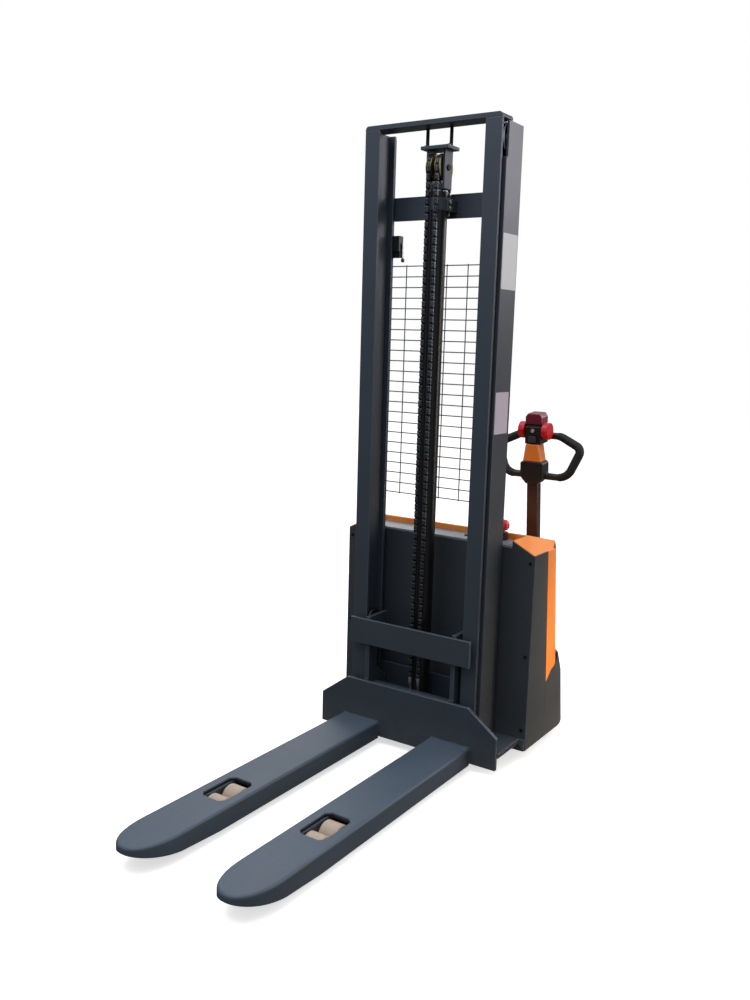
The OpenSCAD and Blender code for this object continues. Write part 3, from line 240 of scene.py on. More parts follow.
def powder_coat(name, colour, roughness, drift=0.1, dust=0.25, streaks=0.0, dust_colour="#8b877e"):
    material, tree, shader, place, cloud, tone = surface(
        name, {"IOR": 1.5, "Metallic": 0.0}, DRIFT, 4.0, shade(colour, 1 - drift), shade(colour, 1 + drift))
    up = add(tree, "ShaderNodeSeparateXYZ", {0: place})
    low = add(tree, "ShaderNodeMapRange", {"Value": up.outputs["Z"], "From Max": DUST_LINE, "To Min": dust,
        "To Max": 0.0})
    specks = add(tree, "ShaderNodeTexNoise", {"Scale": 1 / (18 * MM), "Detail": 5.0, "Vector": place})
    dusty = add(tree, "ShaderNodeMath", {"operation": "MULTIPLY", 0: low, 1: specks})
    base = add(tree, "ShaderNodeMix", {"data_type": "RGBA", 7: linear(dust_colour), 0: dusty, 6: tone})
    peel = add(tree, "ShaderNodeTexNoise", {"Scale": 1 / PEEL, "Detail": 1.0, "Vector": place})
    if streaks:
        along = add(tree, "ShaderNodeMapping", {"Scale": (1 / (3 * MM), 1 / (260 * MM), 1 / (3 * MM)),
            "Vector": place})
        lines = add(tree, "ShaderNodeTexNoise", {"Scale": 1.0, "Detail": 3.0, "Vector": along})
        rubbed = add(tree, "ShaderNodeMapRange", {"Value": lines, "From Min": 0.56, "From Max": 0.72,
            "To Max": streaks})
        base = add(tree, "ShaderNodeMix", {"data_type": "RGBA", 7: shade(colour, 2.1), 0: rubbed, 6: base})
    finished(tree, shader, base, (cloud, roughness - 0.07, roughness + 0.07), (peel, 0.16, 0.4 * MM))
    return material


structure_paint = powder_coat("powder_coat_anthracite", "#323a42", 0.46)
# a lighter copy of the anthracite for bevel faces: a painted highlight along every rounded edge
edge_highlight_paint = powder_coat("powder_coat_on_edges", "#4b525b", 0.36)
# the forks' paint is a lighter, bluer copy of the anthracite: a painted reflection of the sky on their tops;
# the streaks are wear tracks
fork_sky_sheen_paint = powder_coat("powder_coat_on_forks", "#3f4c58", 0.55, drift=0.16, dust=0.12, streaks=0.22)
# the outer uprights' paint is a lighter, glossier copy of the anthracite: a painted sheen on the mast's sides
mast_sheen_paint = powder_coat("powder_coat_outer_mast", "#383d43", 0.38)
cover_paint = powder_coat("powder_coat_on_covers", "#33373b", 0.45)
cylinder_paint = powder_coat("gloss_paint_on_cylinder", "#181716", 0.3, dust=0.1)
arm_paint = powder_coat("satin_paint_on_arm", "#35211f", 0.3, dust=0.0)
deck_paint = powder_coat("powder_coat_on_deck", "#7b8085", 0.42, dust=0.0)
drive_paint = powder_coat("powder_coat_on_drive", "#24282c", 0.45, dust=0.5)

# %% [markdown]
# The hood is a moulding of ABS, coloured right through and finely grained so that finger marks
# don't show. ABS has a soft gloss. Its grain is about 0.4 mm, drawn at 2 mm. The tiller's housing
# is the same kind of moulding with a coarser grain, and the buttons are polished in the mould.

# %% Moulded plastics


def moulded(name, colour, roughness, grain, depth=0.1, coat=0.0):
    material, tree, shader, place, cloud, tone = surface(
        name, {"IOR": 1.53, "Metallic": 0.0, "Coat Weight": coat, "Coat Roughness": 0.12},
        120 * MM, 3.0, shade(colour, 0.95), shade(colour, 1.05))
    pores = add(tree, "ShaderNodeTexVoronoi", {"Scale": 1 / grain, "feature": "SMOOTH_F1", "Vector": place})
    finished(tree, shader, tone, (cloud, roughness - 0.06, roughness + 0.06), (pores, depth, 0.25 * MM))
    return material


hood_abs = moulded("orange_abs_hood", "#ff9238", 0.34, 2 * MM, coat=0.4)
trim_abs = moulded("orange_abs_trim", "#ff8c38", 0.3, 1.5 * MM, coat=0.3)
housing_abs = moulded("black_abs_housing", "#1d1a19", 0.36, 1.8 * MM, depth=0.2)
switch_abs = moulded("black_nylon_switch", "#15171a", 0.45, 1.5 * MM, depth=0.2)
wing_abs = moulded("red_polished_wings", "#d60f1c", 0.36, 3 * MM, depth=0.02, coat=0.1)
button_abs = moulded("dark_red_button", "#7a1c2e", 0.34, 3 * MM, depth=0.02, coat=0.3)
rocker_abs = moulded("grey_rocker", "#3a3c3f", 0.4, 1.5 * MM, depth=0.12)
# the horn button's beige tone is a painted glint
horn_glint_abs = moulded("beige_horn_button", "#c9a48c", 0.32, 1.5 * MM, depth=0.05)
base_abs = moulded("dark_red_switch_base", "#3b1a1c", 0.38, 1.5 * MM, depth=0.08)
gauge_abs = moulded("black_gauge_bezel", "#121315", 0.22, 1.5 * MM, depth=0.05, coat=0.5)
case_abs = moulded("battery_case_polypropylene", "#202224", 0.5, 2.5 * MM, depth=0.2)
label_vinyl = moulded("white_vinyl_label", "#d9d9da", 0.5, 4 * MM, depth=0.01)
label_band = moulded("violet_vinyl_label", "#c4b8c6", 0.5, 4 * MM, depth=0.01)

# %% [markdown]
# Load rollers and tyres are cast polyurethane. It is slightly cloudy, so a little light goes in and
# comes out again beside where it entered, which gives it a warm glow: the shader's Subsurface
# does that. Running on concrete leaves a band of fine scuffs, drawn with noise that is stretched
# round the tread.

# %% Cast polyurethane and rubber


def cast_tyre(name, colour, roughness, glow, scuff_colour, scuffs):
    settings = {"IOR": 1.5, "Subsurface Weight": glow, "Subsurface Scale": 4 * MM,
                "Subsurface Radius": (1.0, 0.7, 0.5)}
    material, tree, shader, place, cloud, tone = surface(
        name, settings, 25 * MM, 5.0, shade(colour, 0.86), shade(colour, 1.1))
    across = add(tree, "ShaderNodeMapping", {"Scale": (1 / (2 * MM), 1 / (14 * MM), 1 / (14 * MM)),
        "Vector": place})
    lines = add(tree, "ShaderNodeTexNoise", {"Scale": 1.0, "Detail": 4.0, "Vector": across})
    worn = add(tree, "ShaderNodeMapRange", {"Value": lines, "From Min": 0.5, "From Max": 0.75,
        "To Max": scuffs})
    base = add(tree, "ShaderNodeMix", {"data_type": "RGBA", 7: linear(scuff_colour), 0: worn, 6: tone})
    finished(tree, shader, base, (worn, roughness, roughness + 0.2), (lines, 0.2, 0.3 * MM))
    return material


load_urethane = cast_tyre("cream_cast_urethane", "#b3a08c", 0.5, 0.2, "#83735f", 0.6)
drive_urethane = cast_tyre("black_cast_urethane", "#1e1c1a", 0.5, 0.0, "#4a4641", 0.6)
caster_urethane = cast_tyre("brown_cast_urethane", "#6b4a34", 0.42, 0.1, "#8a735f", 0.5)
grip_rubber = cast_tyre("black_grip_rubber", "#0e0d0d", 0.62, 0.0, "#242120", 0.4)

# %% [markdown]
# Bare metal shows how it was worked. Zinc plate is a thin bright skin with cloudy patches, yellow
# zinc has a chromate film over it, rollers are ground, chain plates are blanked and oiled, and
# the piston rod is hard chrome that was polished round its axis. They are all fully metallic,
# keep the shader's own refraction, and differ in colour, roughness and the direction of the marks.

# %% Metals
PATCH = 22 * MM


def worked_metal(name, colour, roughness, marks, depth=0.1, patch_colour=None):
    patch = linear(patch_colour) if patch_colour else shade(colour, 0.78)
    material, tree, shader, place, cloud, tone = surface(
        name, {"Metallic": 1.0}, PATCH, 4.0, linear(colour), patch)
    spread = add(tree, "ShaderNodeMapRange", {"From Min": 0.35, "From Max": 0.65, "Value": cloud})
    feed(tree, tone, {0: spread})
    turned = add(tree, "ShaderNodeMapping", {"Scale": tuple(1 / size for size in marks), "Vector": place})
    lines = add(tree, "ShaderNodeTexNoise", {"Scale": 1.0, "Detail": 3.0, "Vector": turned})
    finished(tree, shader, tone, (lines, roughness - 0.08, roughness + 0.1), (lines, depth, 0.15 * MM))
    return material


zinc_plate = worked_metal("bright_zinc_plate", "#b9bcbd", 0.32, (3 * MM,) * 3)
yellow_zinc = worked_metal("yellow_zinc_plate", "#7d7145", 0.42, (2 * MM, 6 * MM, 6 * MM), 0.1, "#5f583c")
ground_steel = worked_metal("ground_roller_steel", "#6f7479", 0.3, (1.5 * MM, 12 * MM, 12 * MM))
oiled_steel = worked_metal("oiled_chain_steel", "#2c2e31", 0.5, (3 * MM, 3 * MM, 8 * MM), 0.1, "#1d1e20")
chain_pin_steel = worked_metal("bright_chain_pins", "#85898d", 0.42, (2 * MM,) * 3)
# a lighter steel for the outer chain plates: a painted highlight, a light dash on every second link
outer_plate_highlight_steel = worked_metal("worn_chain_steel", "#6d7277", 0.5, (3 * MM, 3 * MM, 8 * MM), 0.1, "#54585c")
black_oxide = worked_metal("black_oxide_screws", "#303235", 0.4, (2 * MM,) * 3)
hard_chrome = worked_metal("hard_chrome_rod", "#c9ccd0", 0.14, (10 * MM, 10 * MM, 2 * MM), depth=0.04)
guard_wire = powder_coat("powder_coat_on_wire", "#5f666d", 0.42)
ribbed_aluminium = worked_metal("extruded_aluminium", "#a3a6a9", 0.34, (3 * MM, 3 * MM, 60 * MM))
weld_steel = powder_coat("powder_coat_over_welds", "#353b43", 0.4)
nickel_plate = worked_metal("nickel_plated_key", "#b5b2aa", 0.24, (2 * MM, 2 * MM, 8 * MM))

# %% [markdown]
# The floor is a sheet of white studio paper with a faint cloud in its tone. Light comes through it
# from below, as through the translucent top of a product table, so shadows on it stay soft and pale.

# %% Studio floor
floor_material, tree, shader, place, cloud, tone = surface(
    "white_studio_floor", {"Roughness": 0.8, "Emission Color": linear("#ffffff"), "Emission Strength": 0.6},
    1 / 0.7, 2.0, linear("#f3f3f3"), linear("#f7f7f7"))
feed(tree, shader, {"Base Color": tone})
floor.data.materials.append(floor_material)
print("materials:", len(bpy.data.materials))

# %% [markdown]
# CAD edges are perfectly sharp, and nothing real is: a sawn plate has a rounded edge of 1 to 2 mm
# that catches the light as a thin line. So each CAD node is copied, its loose triangles are merged
# and the flat ones joined, and its outer edges get a bevel. The bevel's width follows the
# thickness of the two faces at the edge, so a thin lip isn't eaten away. The bevel's faces take a
# second, lighter paint, which is a painted highlight along the edge. The CAD node itself stays as
# it is and is only replaced in the picture.

# %% Helpers for finished pieces
SMOOTH_UP_TO = math.radians(48)


def smooth(mesh):
    """Shades round stretches smoothly and leaves real corners sharp."""
    mesh.polygons.foreach_set("use_smooth", [True] * len(mesh.polygons))
    mesh.set_sharp_from_angle(angle=SMOOTH_UP_TO)


def settle(obj):
    """Turns an object with its modifiers into a plain mesh, with its place in the mesh."""
    bpy.context.view_layer.update()
    evaluated = obj.evaluated_get(bpy.context.evaluated_depsgraph_get())
    mesh = bpy.data.meshes.new_from_object(evaluated)
    mesh.transform(obj.matrix_world)
    name = obj.name
    bpy.data.objects.remove(obj)
    settled = bpy.data.objects.new(name, mesh)
    scene.collection.objects.link(settled)
    return settled


def flatten(obj):
    """Smooth shading in which flat faces stay flat, settled into the mesh."""
    smooth(obj.data)
    obj.modifiers.new("flat_stays_flat", "WEIGHTED_NORMAL").keep_sharp = True
    return settle(obj)


def ride_as(obj, node):
    """The piece stands for a CAD node: it rides on its body, and the node is hidden."""
    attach(obj, body_of[node])
    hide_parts(node)
    return obj


def from_bmesh(name, bm, *materials):
    """An object from a bmesh, which is freed."""
    mesh = bpy.data.meshes.new(name)
    bm.to_mesh(mesh)
    bm.free()
    obj = bpy.data.objects.new(name, mesh)
    scene.collection.objects.link(obj)
    for material in materials:
        mesh.materials.append(material)
    return obj


def middle(node):
    """The centre of a CAD node's box."""
    low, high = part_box(node)
    return (low + high) / 2


def thickness(face):
    """The width of a long thin face; of a square one, half its side."""
    return 2 * face.calc_area() / face.calc_perimeter()


def merged_copy(node):
    """A CAD node's mesh as a bmesh with joined corners and whole flat faces."""
    bm = bmesh.new()
    bm.from_mesh(frame["nodes"][node].data)
    bmesh.ops.remove_doubles(bm, verts=bm.verts, dist=0.02 * MM)
    bmesh.ops.dissolve_limit(bm, angle_limit=math.radians(0.8), verts=bm.verts, edges=bm.edges)
    return bm


def soften(obj, width, segments=2, corner=28):
    """Bevels the outer edges of an object and shades it, then settles it."""
    bm = bmesh.new()
    bm.from_mesh(obj.data)
    weight = bm.edges.layers.float.new("bevel_weight_edge")
    for edge in bm.edges:
        if edge.is_manifold and edge.is_convex and edge.calc_face_angle() > math.radians(corner):
            room = 0.32 * min(thickness(face) for face in edge.link_faces)
            edge[weight] = min(1.0, room / width)
    bm.to_mesh(obj.data)
    bm.free()
    bevel = obj.modifiers.new("round_edges", "BEVEL")
    bevel.limit_method = "WEIGHT"
    bevel.width = width
    bevel.segments = segments
    bevel.use_clamp_overlap = False
    # the bevel's faces take the last material, which on the plates is the painted edge highlight
    bevel.material = len(obj.data.materials) - 1
    return flatten(settle(obj))


def rounded(node, *materials, width=1.6 * MM, segments=2, corner=28):
    """A finished copy of a CAD node that stands for it."""
    piece = from_bmesh(node + ".finished", merged_copy(node), *materials)
    return ride_as(soften(piece, width, segments, corner), node)


print("helpers are ready")

# %% [markdown]
# Plates and beams of the machine: the frame, the mast and the carriage. Their shapes are right as
# they come from CAD, so they only get their rounded edges and their paint.

# %% Frame, mast and carriage plates
plates = [
    "base_frame", "support_leg_left", "support_leg_right", "inner_upright_left", "inner_upright_right",
    "inner_crossbeams", "outer_crossbeam", "crosshead", "carriage_frame"]
for node in plates:
    rounded(node, structure_paint, edge_highlight_paint)
for node in ("carriage_plate", "carriage_bar"):
    rounded(node, structure_paint, edge_highlight_paint, width=2.2 * MM, segments=3)
for node in ("outer_upright_left", "outer_upright_right"):
    rounded(node, mast_sheen_paint, edge_highlight_paint)
rounded("front_cover", cover_paint, edge_highlight_paint, width=1.2 * MM)
rounded("deck_cover", deck_paint, edge_highlight_paint, width=1.2 * MM)
print("plates finished:", len(plates) + 6)

# %% [markdown]
# A fork is a folded sheet of 6 mm: a top, two side walls that get lower towards the tip, and
# a rounded nose. The fold leaves a radius of 9 mm along the top edge, which is the line of light
# that shows where the top ends. The shape follows a rule, so it is lofted: the outline of the
# fork, seen from above, is repeated as rings, from the flat top over the fold, down the wall, round
# its lower edge and up again on the inside. The flat faces get the roller window cut out.

# %% Fork shape
FORK_WALL = 6 * MM
FOLD_RADIUS = 9 * MM
FOLD_STEPS = 5
NOSE_LENGTH = 155 * MM
NOSE_POWER = 2.2
NOSE_DEPTH = 23 * MM
NOSE_STEPS = 36
TAPER_LENGTH = 280 * MM
WINDOW_SETBACK = 426 * MM
WINDOW_HALF = (46 * MM, 75 * MM)
WINDOW_CUT = 16 * MM
LIP = 1.5 * MM
EDGE = 1 * MM


def fork_ring(low, high, inset, end_gap):
    """The fork's outline from above: down one side, round the nose and back."""
    centre = (low.x + high.x) / 2
    half = (high.x - low.x) / 2 - inset
    base = low.y + NOSE_LENGTH
    points = [(half, high.y - end_gap), (half, base + 0.15)]
    for i in range(NOSE_STEPS * 2 + 1):
        angle = math.pi / 2 * i / NOSE_STEPS
        side = math.copysign(abs(math.cos(angle)) ** (2 / NOSE_POWER), math.cos(angle))
        ahead = abs(math.sin(angle)) ** (2 / NOSE_POWER)
        points.append((half * side, base - (NOSE_LENGTH - inset) * ahead))
    points += [(-half, base + 0.15), (-half, high.y - end_gap)]
    return [(centre + x, y) for x, y in points]


def wall_foot(low, high, y):
    """Height of a side wall's lower edge, which rises towards the tip."""
    share = max(0.0, (low.y + TAPER_LENGTH - y) / TAPER_LENGTH)
    return low.z + (high.z - low.z - NOSE_DEPTH) * share ** 2


def window_ring(low, high, grow):
    """The roller window: a rectangle with cut corners."""
    centre = Vector(((low.x + high.x) / 2, low.y + WINDOW_SETBACK))
    half_x = WINDOW_HALF[0] + grow
    half_y = WINDOW_HALF[1] + grow
    side = half_y - WINDOW_CUT
    end = half_x - WINDOW_CUT
    corners = [(half_x, side), (end, half_y), (-end, half_y), (-half_x, side),
               (-half_x, -side), (-end, -half_y), (end, -half_y), (half_x, -side)]
    return [(centre.x + x, centre.y + y) for x, y in corners]


def join_rings(bm, rings):
    """Quads between each ring of vertices and the next."""
    for ring, following in zip(rings, rings[1:]):
        for i in range(len(ring)):
            j = (i + 1) % len(ring)
            bm.faces.new((ring[i], ring[j], following[j], following[i]))


def from_rings(name, bm, rings, *materials):
    """A closed solid: rings of vertices with a face on the first and on the last."""
    join_rings(bm, rings)
    bm.faces.new(rings[0])
    bm.faces.new(rings[-1])
    bmesh.ops.recalc_face_normals(bm, faces=bm.faces)
    return from_bmesh(name, bm, *materials)


def cap(bm, outer, hole):
    """A flat face between an outer ring and a hole."""
    verts = outer + hole
    for triangle in tessellate_polygon([[v.co for v in outer], [v.co for v in hole]]):
        bm.faces.new([verts[i] for i in triangle])


def make_fork(node):
    low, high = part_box(node)
    under = high.z - FORK_WALL
    bm = bmesh.new()
    levels = []
    for i in range(FOLD_STEPS + 1):
        angle = math.pi / 2 * i / FOLD_STEPS
        levels.append((FOLD_RADIUS * (1 - math.sin(angle)), high.z - FOLD_RADIUS * (1 - math.cos(angle)), 0))
    levels += [(0, None, EDGE), (EDGE, None, 0), (FORK_WALL - EDGE, None, 0), (FORK_WALL, None, EDGE),
               (FORK_WALL, under - 5 * MM, 0), (FORK_WALL + 4 * MM, under, 0)]
    rings = []
    for number, (inset, z, lift) in enumerate(levels):
        inside = number > FOLD_STEPS + 2
        outline = fork_ring(low, high, inset, FORK_WALL if inside else 0)
        rings.append([bm.verts.new((x, y, wall_foot(low, high, y) + lift if z is None else z))
                      for x, y in outline])
    join_rings(bm, rings)
    holes = [[bm.verts.new((x, y, z)) for x, y in window_ring(low, high, grow)]
             for grow, z in ((LIP, high.z), (LIP * 0.3, high.z - LIP * 0.3), (0, high.z - LIP), (0, under))]
    join_rings(bm, holes)
    cap(bm, rings[0], holes[0])
    cap(bm, rings[-1], holes[-1])
    bmesh.ops.recalc_face_normals(bm, faces=bm.faces)
    ride_as(flatten(from_bmesh(node + ".folded", bm, fork_sky_sheen_paint)), node)


for node in ("fork_left", "fork_right"):
    make_fork(node)

# %% [markdown]
# Anything round is turned here as on a lathe: a closed profile goes round in many small steps, so
# that wheels stay round in close views. Only one side of the profile is given, as places along the
# axis and radii, and the other is its mirror image. The load rollers have a sleeve in the middle
# and rounded shoulders.

# %% A lathe


def turned(name, side, centre, steps, material):
    """A ring-shaped solid round an axis that lies along X."""
    bm = bmesh.new()
    rings = []
    for along, radius in [*side, *[(-x, r) for x, r in reversed(side)]]:
        angles = [2 * math.pi * i / steps for i in range(steps)]
        rings.append([bm.verts.new(Vector(centre) + Vector((along, radius * math.cos(a), radius * math.sin(a))))
                      for a in angles])
    join_rings(bm, [*rings, rings[0]])
    bmesh.ops.recalc_face_normals(bm, faces=bm.faces)
    return flatten(from_bmesh(name, bm, material))


SLEEVE_BORE = 10 * MM
SLEEVE = 15 * MM
# on each side of a load roller: how far in from its face, and how far under its tread
TREAD_SHOULDER = [(4, 5), (5.4, 2.2), (7.6, 0.4), (11, 0), (16, 0)]
load_rollers = [node for node in frame["nodes"] if node.startswith("load_roller_") and "axles" not in node]
for node in load_rollers:
    low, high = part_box(node)
    half = (high.x - low.x) / 2
    radius = (high.z - low.z) / 2
    side = [(half, SLEEVE_BORE), (half, SLEEVE), (half - 2 * MM, SLEEVE + 1 * MM),
            (half - 3.5 * MM, radius * 0.55), (half - 3.5 * MM, radius - 9 * MM)]
    side += [(half - inward * MM, radius - under * MM) for inward, under in TREAD_SHOULDER]
    ride_as(turned(node + ".cast", side, middle(node), 72, load_urethane), node)
print("load rollers:", len(load_rollers))

# %% Drive wheel and caster wheel


def wheel(node, hub_finish, tyre_finish, bore, hub_radius, tyre_depth):
    """A cast hub with a dished face, and its tyre."""
    low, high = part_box(node)
    centre = middle(node)
    half = (high.x - low.x) / 2
    radius = (high.z - low.z) / 2
    inner = radius - tyre_depth
    tyre_half = half - 2 * MM
    shoulder = [(tyre_half - 1 * MM, inner), (tyre_half, inner + 4 * MM), (tyre_half - 1 * MM, radius - 8 * MM),
                (tyre_half - 3 * MM, radius - 3 * MM), (tyre_half - 7 * MM, radius)]
    ride_as(turned(node + ".tyre", shoulder, centre, 96, tyre_finish), node)
    dish = [(half, bore), (half, bore + 9 * MM), (half - 3 * MM, bore + 12 * MM),
            (half - 11 * MM, hub_radius), (half - 13 * MM, inner - 12 * MM), (half - 5 * MM, inner - 5 * MM),
            (half - 4 * MM, inner + 0.5 * MM)]
    hub = turned(node + ".hub", dish, centre, 64, hub_finish)
    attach(hub, body_of[node])
    return centre, half


drive_centre, drive_half = wheel("drive_wheel", drive_paint, drive_urethane, 20.1 * MM, 44 * MM, 24 * MM)
wheel("caster_wheel", zinc_plate, caster_urethane, 8.1 * MM, 26 * MM, 18 * MM)
print("drive wheel at", tuple(round(c, 3) for c in drive_centre))

# %% [markdown]
# Things that repeat are made by Geometry Nodes: one tree holds the rule, and the numbers go in
# through named inputs. The helper below builds the frame of such a tree. A second helper gives the
# rule to an object, sets its inputs, takes the resulting mesh and throws the rule away, because
# an exported model holds plain meshes only.

# %% Geometry Nodes helpers
KINDS = {float: "NodeSocketFloat", int: "NodeSocketInt", "object": "NodeSocketObject",
         "material": "NodeSocketMaterial", "direction": "NodeSocketVector"}


def rule(name, inputs):
    """An empty tree with a geometry input, these named inputs and a geometry output."""
    tree = bpy.data.node_groups.new(name, "GeometryNodeTree")
    tree.interface.new_socket("Geometry", in_out="INPUT", socket_type="NodeSocketGeometry")
    for label, kind in inputs.items():
        tree.interface.new_socket(label, in_out="INPUT", socket_type=KINDS[kind])
    tree.interface.new_socket("Geometry", in_out="OUTPUT", socket_type="NodeSocketGeometry")
    given = tree.nodes.new("NodeGroupInput")
    return tree, given.outputs, tree.nodes.new("NodeGroupOutput")


def end_rule(tree, result, geometry, material):
    """Makes the instances real and gives them their material."""
    real = add(tree, "GeometryNodeRealizeInstances", {0: geometry})
    painted = add(tree, "GeometryNodeSetMaterial", {"Geometry": real, "Material": material})
    feed(tree, result, {0: painted})


def grow(name, tree, values, start):
    """Runs a rule on a start mesh and returns the plain mesh that it makes, as an object."""
    holder = bpy.data.objects.new(name, start)
    scene.collection.objects.link(holder)
    modifier = holder.modifiers.new("rule", "NODES")
    modifier.node_group = tree
    for socket in tree.interface.items_tree:
        if socket.in_out == "INPUT" and socket.name in values:
            modifier[socket.identifier] = values[socket.name]
    made = settle(holder)
    smooth(made.data)
    return made


def line_mesh(name, *lines):
    """A mesh that holds only edges, along each line of points."""
    verts = []
    edges = []
    for line in lines:
        edges += [(len(verts) + i, len(verts) + i + 1) for i in range(len(line) - 1)]
        verts += [tuple(p) for p in line]
    mesh = bpy.data.meshes.new(name)
    mesh.from_pydata(verts, edges, [])
    return mesh


print("rules can grow")

# %% [markdown]
# The mesh guard keeps hands away from the chains. It is welded from level and upright wires: one
# wire is a thin cylinder, and the rule copies it up and across. A small melted spot sits at each
# crossing. The gaps come from the CAD guard's own box.

# %% Mesh guard
GUARD_ROWS = 23
GUARD_POSTS = 7
WIRE = 2 * MM

tree, given, result = rule("welded_wire_rule", {
    "Rows": int, "Row gap": float, "Posts": int, "Post gap": float, "Wire radius": float, "Finish": "material"})
wire = given["Wire radius"]
spans = []
for count, gap, overhang in (("Rows", "Row gap", 4.0), ("Posts", "Post gap", 2.0)):
    fewer = add(tree, "ShaderNodeMath", {"operation": "SUBTRACT", 0: given[count], 1: 1.0})
    span = add(tree, "ShaderNodeMath", {"operation": "MULTIPLY", 0: given[gap], 1: fewer})
    length = add(tree, "ShaderNodeMath", {"operation": "MULTIPLY_ADD", 0: wire, 1: overhang, 2: span})
    half = add(tree, "ShaderNodeMath", {"operation": "MULTIPLY", 0: span, 1: 0.5})
    spans.append((half, add(tree, "GeometryNodeMeshCylinder", {"Vertices": 10, "Radius": wire,
        "Depth": length})))
(half_tall, upright), (half_wide, level) = spans
lines = []
for count, gap, axis, start in (("Rows", "Row gap", "Z", {"X": half_wide}),
                                ("Posts", "Post gap", "X", {"Y": wire, "Z": half_tall})):
    step = add(tree, "ShaderNodeCombineXYZ", {axis: given[gap]})
    first = add(tree, "ShaderNodeCombineXYZ", start)
    lines.append(add(tree, "GeometryNodeMeshLine", {"mode": "OFFSET", "Count": given[count],
        "Start Location": first, "Offset": step}))
row_line, post_line = lines
levels = add(tree, "GeometryNodeInstanceOnPoints", {"Points": row_line, "Instance": level,
    "Rotation": (0, math.pi / 2, 0)})
uprights = add(tree, "GeometryNodeInstanceOnPoints", {"Points": post_line, "Instance": upright})
net = add(tree, "GeometryNodeInstanceOnPoints", {"Points": row_line, "Instance": post_line})
net_real = add(tree, "GeometryNodeRealizeInstances", {0: net})
net_shift = add(tree, "ShaderNodeCombineXYZ", {"X": half_wide, "Z": half_tall})
net_back = add(tree, "ShaderNodeVectorMath", {"operation": "SCALE", 0: net_shift, "Scale": -1.0})
crossings = add(tree, "GeometryNodeTransform", {"Geometry": net_real, "Translation": net_back})
spot = add(tree, "GeometryNodeMeshUVSphere", {"Segments": 8, "Rings": 5, "Radius": WIRE * 1.25})
spots = add(tree, "GeometryNodeInstanceOnPoints", {"Points": crossings, "Instance": spot})
joined = add(tree, "GeometryNodeJoinGeometry", {0: [spots, uprights, levels]})
end_rule(tree, result, joined, given["Finish"])

low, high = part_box("mesh_guard")
post_gap = (high.x - low.x - 2 * WIRE) / (GUARD_POSTS - 1)
row_gap = (high.z - low.z - 4 * WIRE - 4 * MM) / (GUARD_ROWS - 1)
guard = grow("mesh_guard.wires", tree, {
    "Rows": GUARD_ROWS, "Row gap": row_gap, "Posts": GUARD_POSTS, "Post gap": post_gap, "Wire radius": WIRE,
    "Finish": guard_wire}, bpy.data.meshes.new("empty_start"))
guard_low = min(v.co.z for v in guard.data.vertices)
guard.data.transform(Matrix.Translation((low.x + WIRE, high.y - 2 * WIRE, low.z - guard_low)))
ride_as(guard, "mesh_guard")
print("guard wires:", GUARD_ROWS, "rows,", round(row_gap * 1000, 1), "mm apart")

# %% [markdown]
# A lift chain is a leaf chain: packs of flat plates in the shape of an eight, laced on pins, with
# no rollers. Two plate packs alternate, so each pin is shared. The rule walks along a path in
# steps of one pitch, sets a pack between each pin and the next, and a pin at each joint. The
# packs turn only about X, because the pins must stay level. The outer plates are a lighter steel,
# a painted highlight that shows as a light dash on every second link.

# %% Chain parts
CHAIN_PITCH = 13 * MM
PLATE_HALF = 4.8 * MM
PLATE_WAIST = 3.2 * MM
PLATE_THICK = 1.35 * MM
PLATE_STEP = 1.45 * MM
PIN_RADIUS = 2.4 * MM
CHAIN_WIDTH = 12 * MM


def plate_outline():
    """An eight with its two eyes at 0 and one pitch along Z."""
    points = []
    for eye, start, waist in ((CHAIN_PITCH, 0, -PLATE_WAIST), (0, math.pi, PLATE_WAIST)):
        for i in range(7):
            angle = start + math.pi * i / 6
            points.append((PLATE_HALF * math.cos(angle), eye + PLATE_HALF * 0.98 * math.sin(angle)))
        points.append((waist, CHAIN_PITCH / 2))
    return points


def plate_pack(name, places, finish):
    """Some plates side by side across the chain."""
    bm = bmesh.new()
    for x in places:
        sides = [[bm.verts.new((x + dx, y, z)) for y, z in plate_outline()]
                 for dx in (-PLATE_THICK / 2, PLATE_THICK / 2)]
        join_rings(bm, sides)
        bm.faces.new(sides[0])
        bm.faces.new(reversed(sides[1]))
    bmesh.ops.recalc_face_normals(bm, faces=bm.faces)
    return from_bmesh(name, bm, finish)


lace = [(i - 3.5) * PLATE_STEP for i in range(8)]
outer_pack = plate_pack("outer_pack", [lace[0], lace[3], lace[4], lace[7]], outer_plate_highlight_steel)
inner_pack = plate_pack("inner_pack", [lace[1], lace[2], lace[5], lace[6]], oiled_steel)
round_pin = bmesh.new()
bmesh.ops.create_cone(round_pin, cap_ends=True, segments=10, radius1=PIN_RADIUS, radius2=PIN_RADIUS,
                      depth=CHAIN_WIDTH)
bmesh.ops.transform(round_pin, matrix=Matrix.Rotation(math.pi / 2, 4, "Y"), verts=round_pin.verts)
pin = from_bmesh("chain_pin", round_pin, chain_pin_steel)
print("chain parts:", outer_pack.name, inner_pack.name, pin.name)

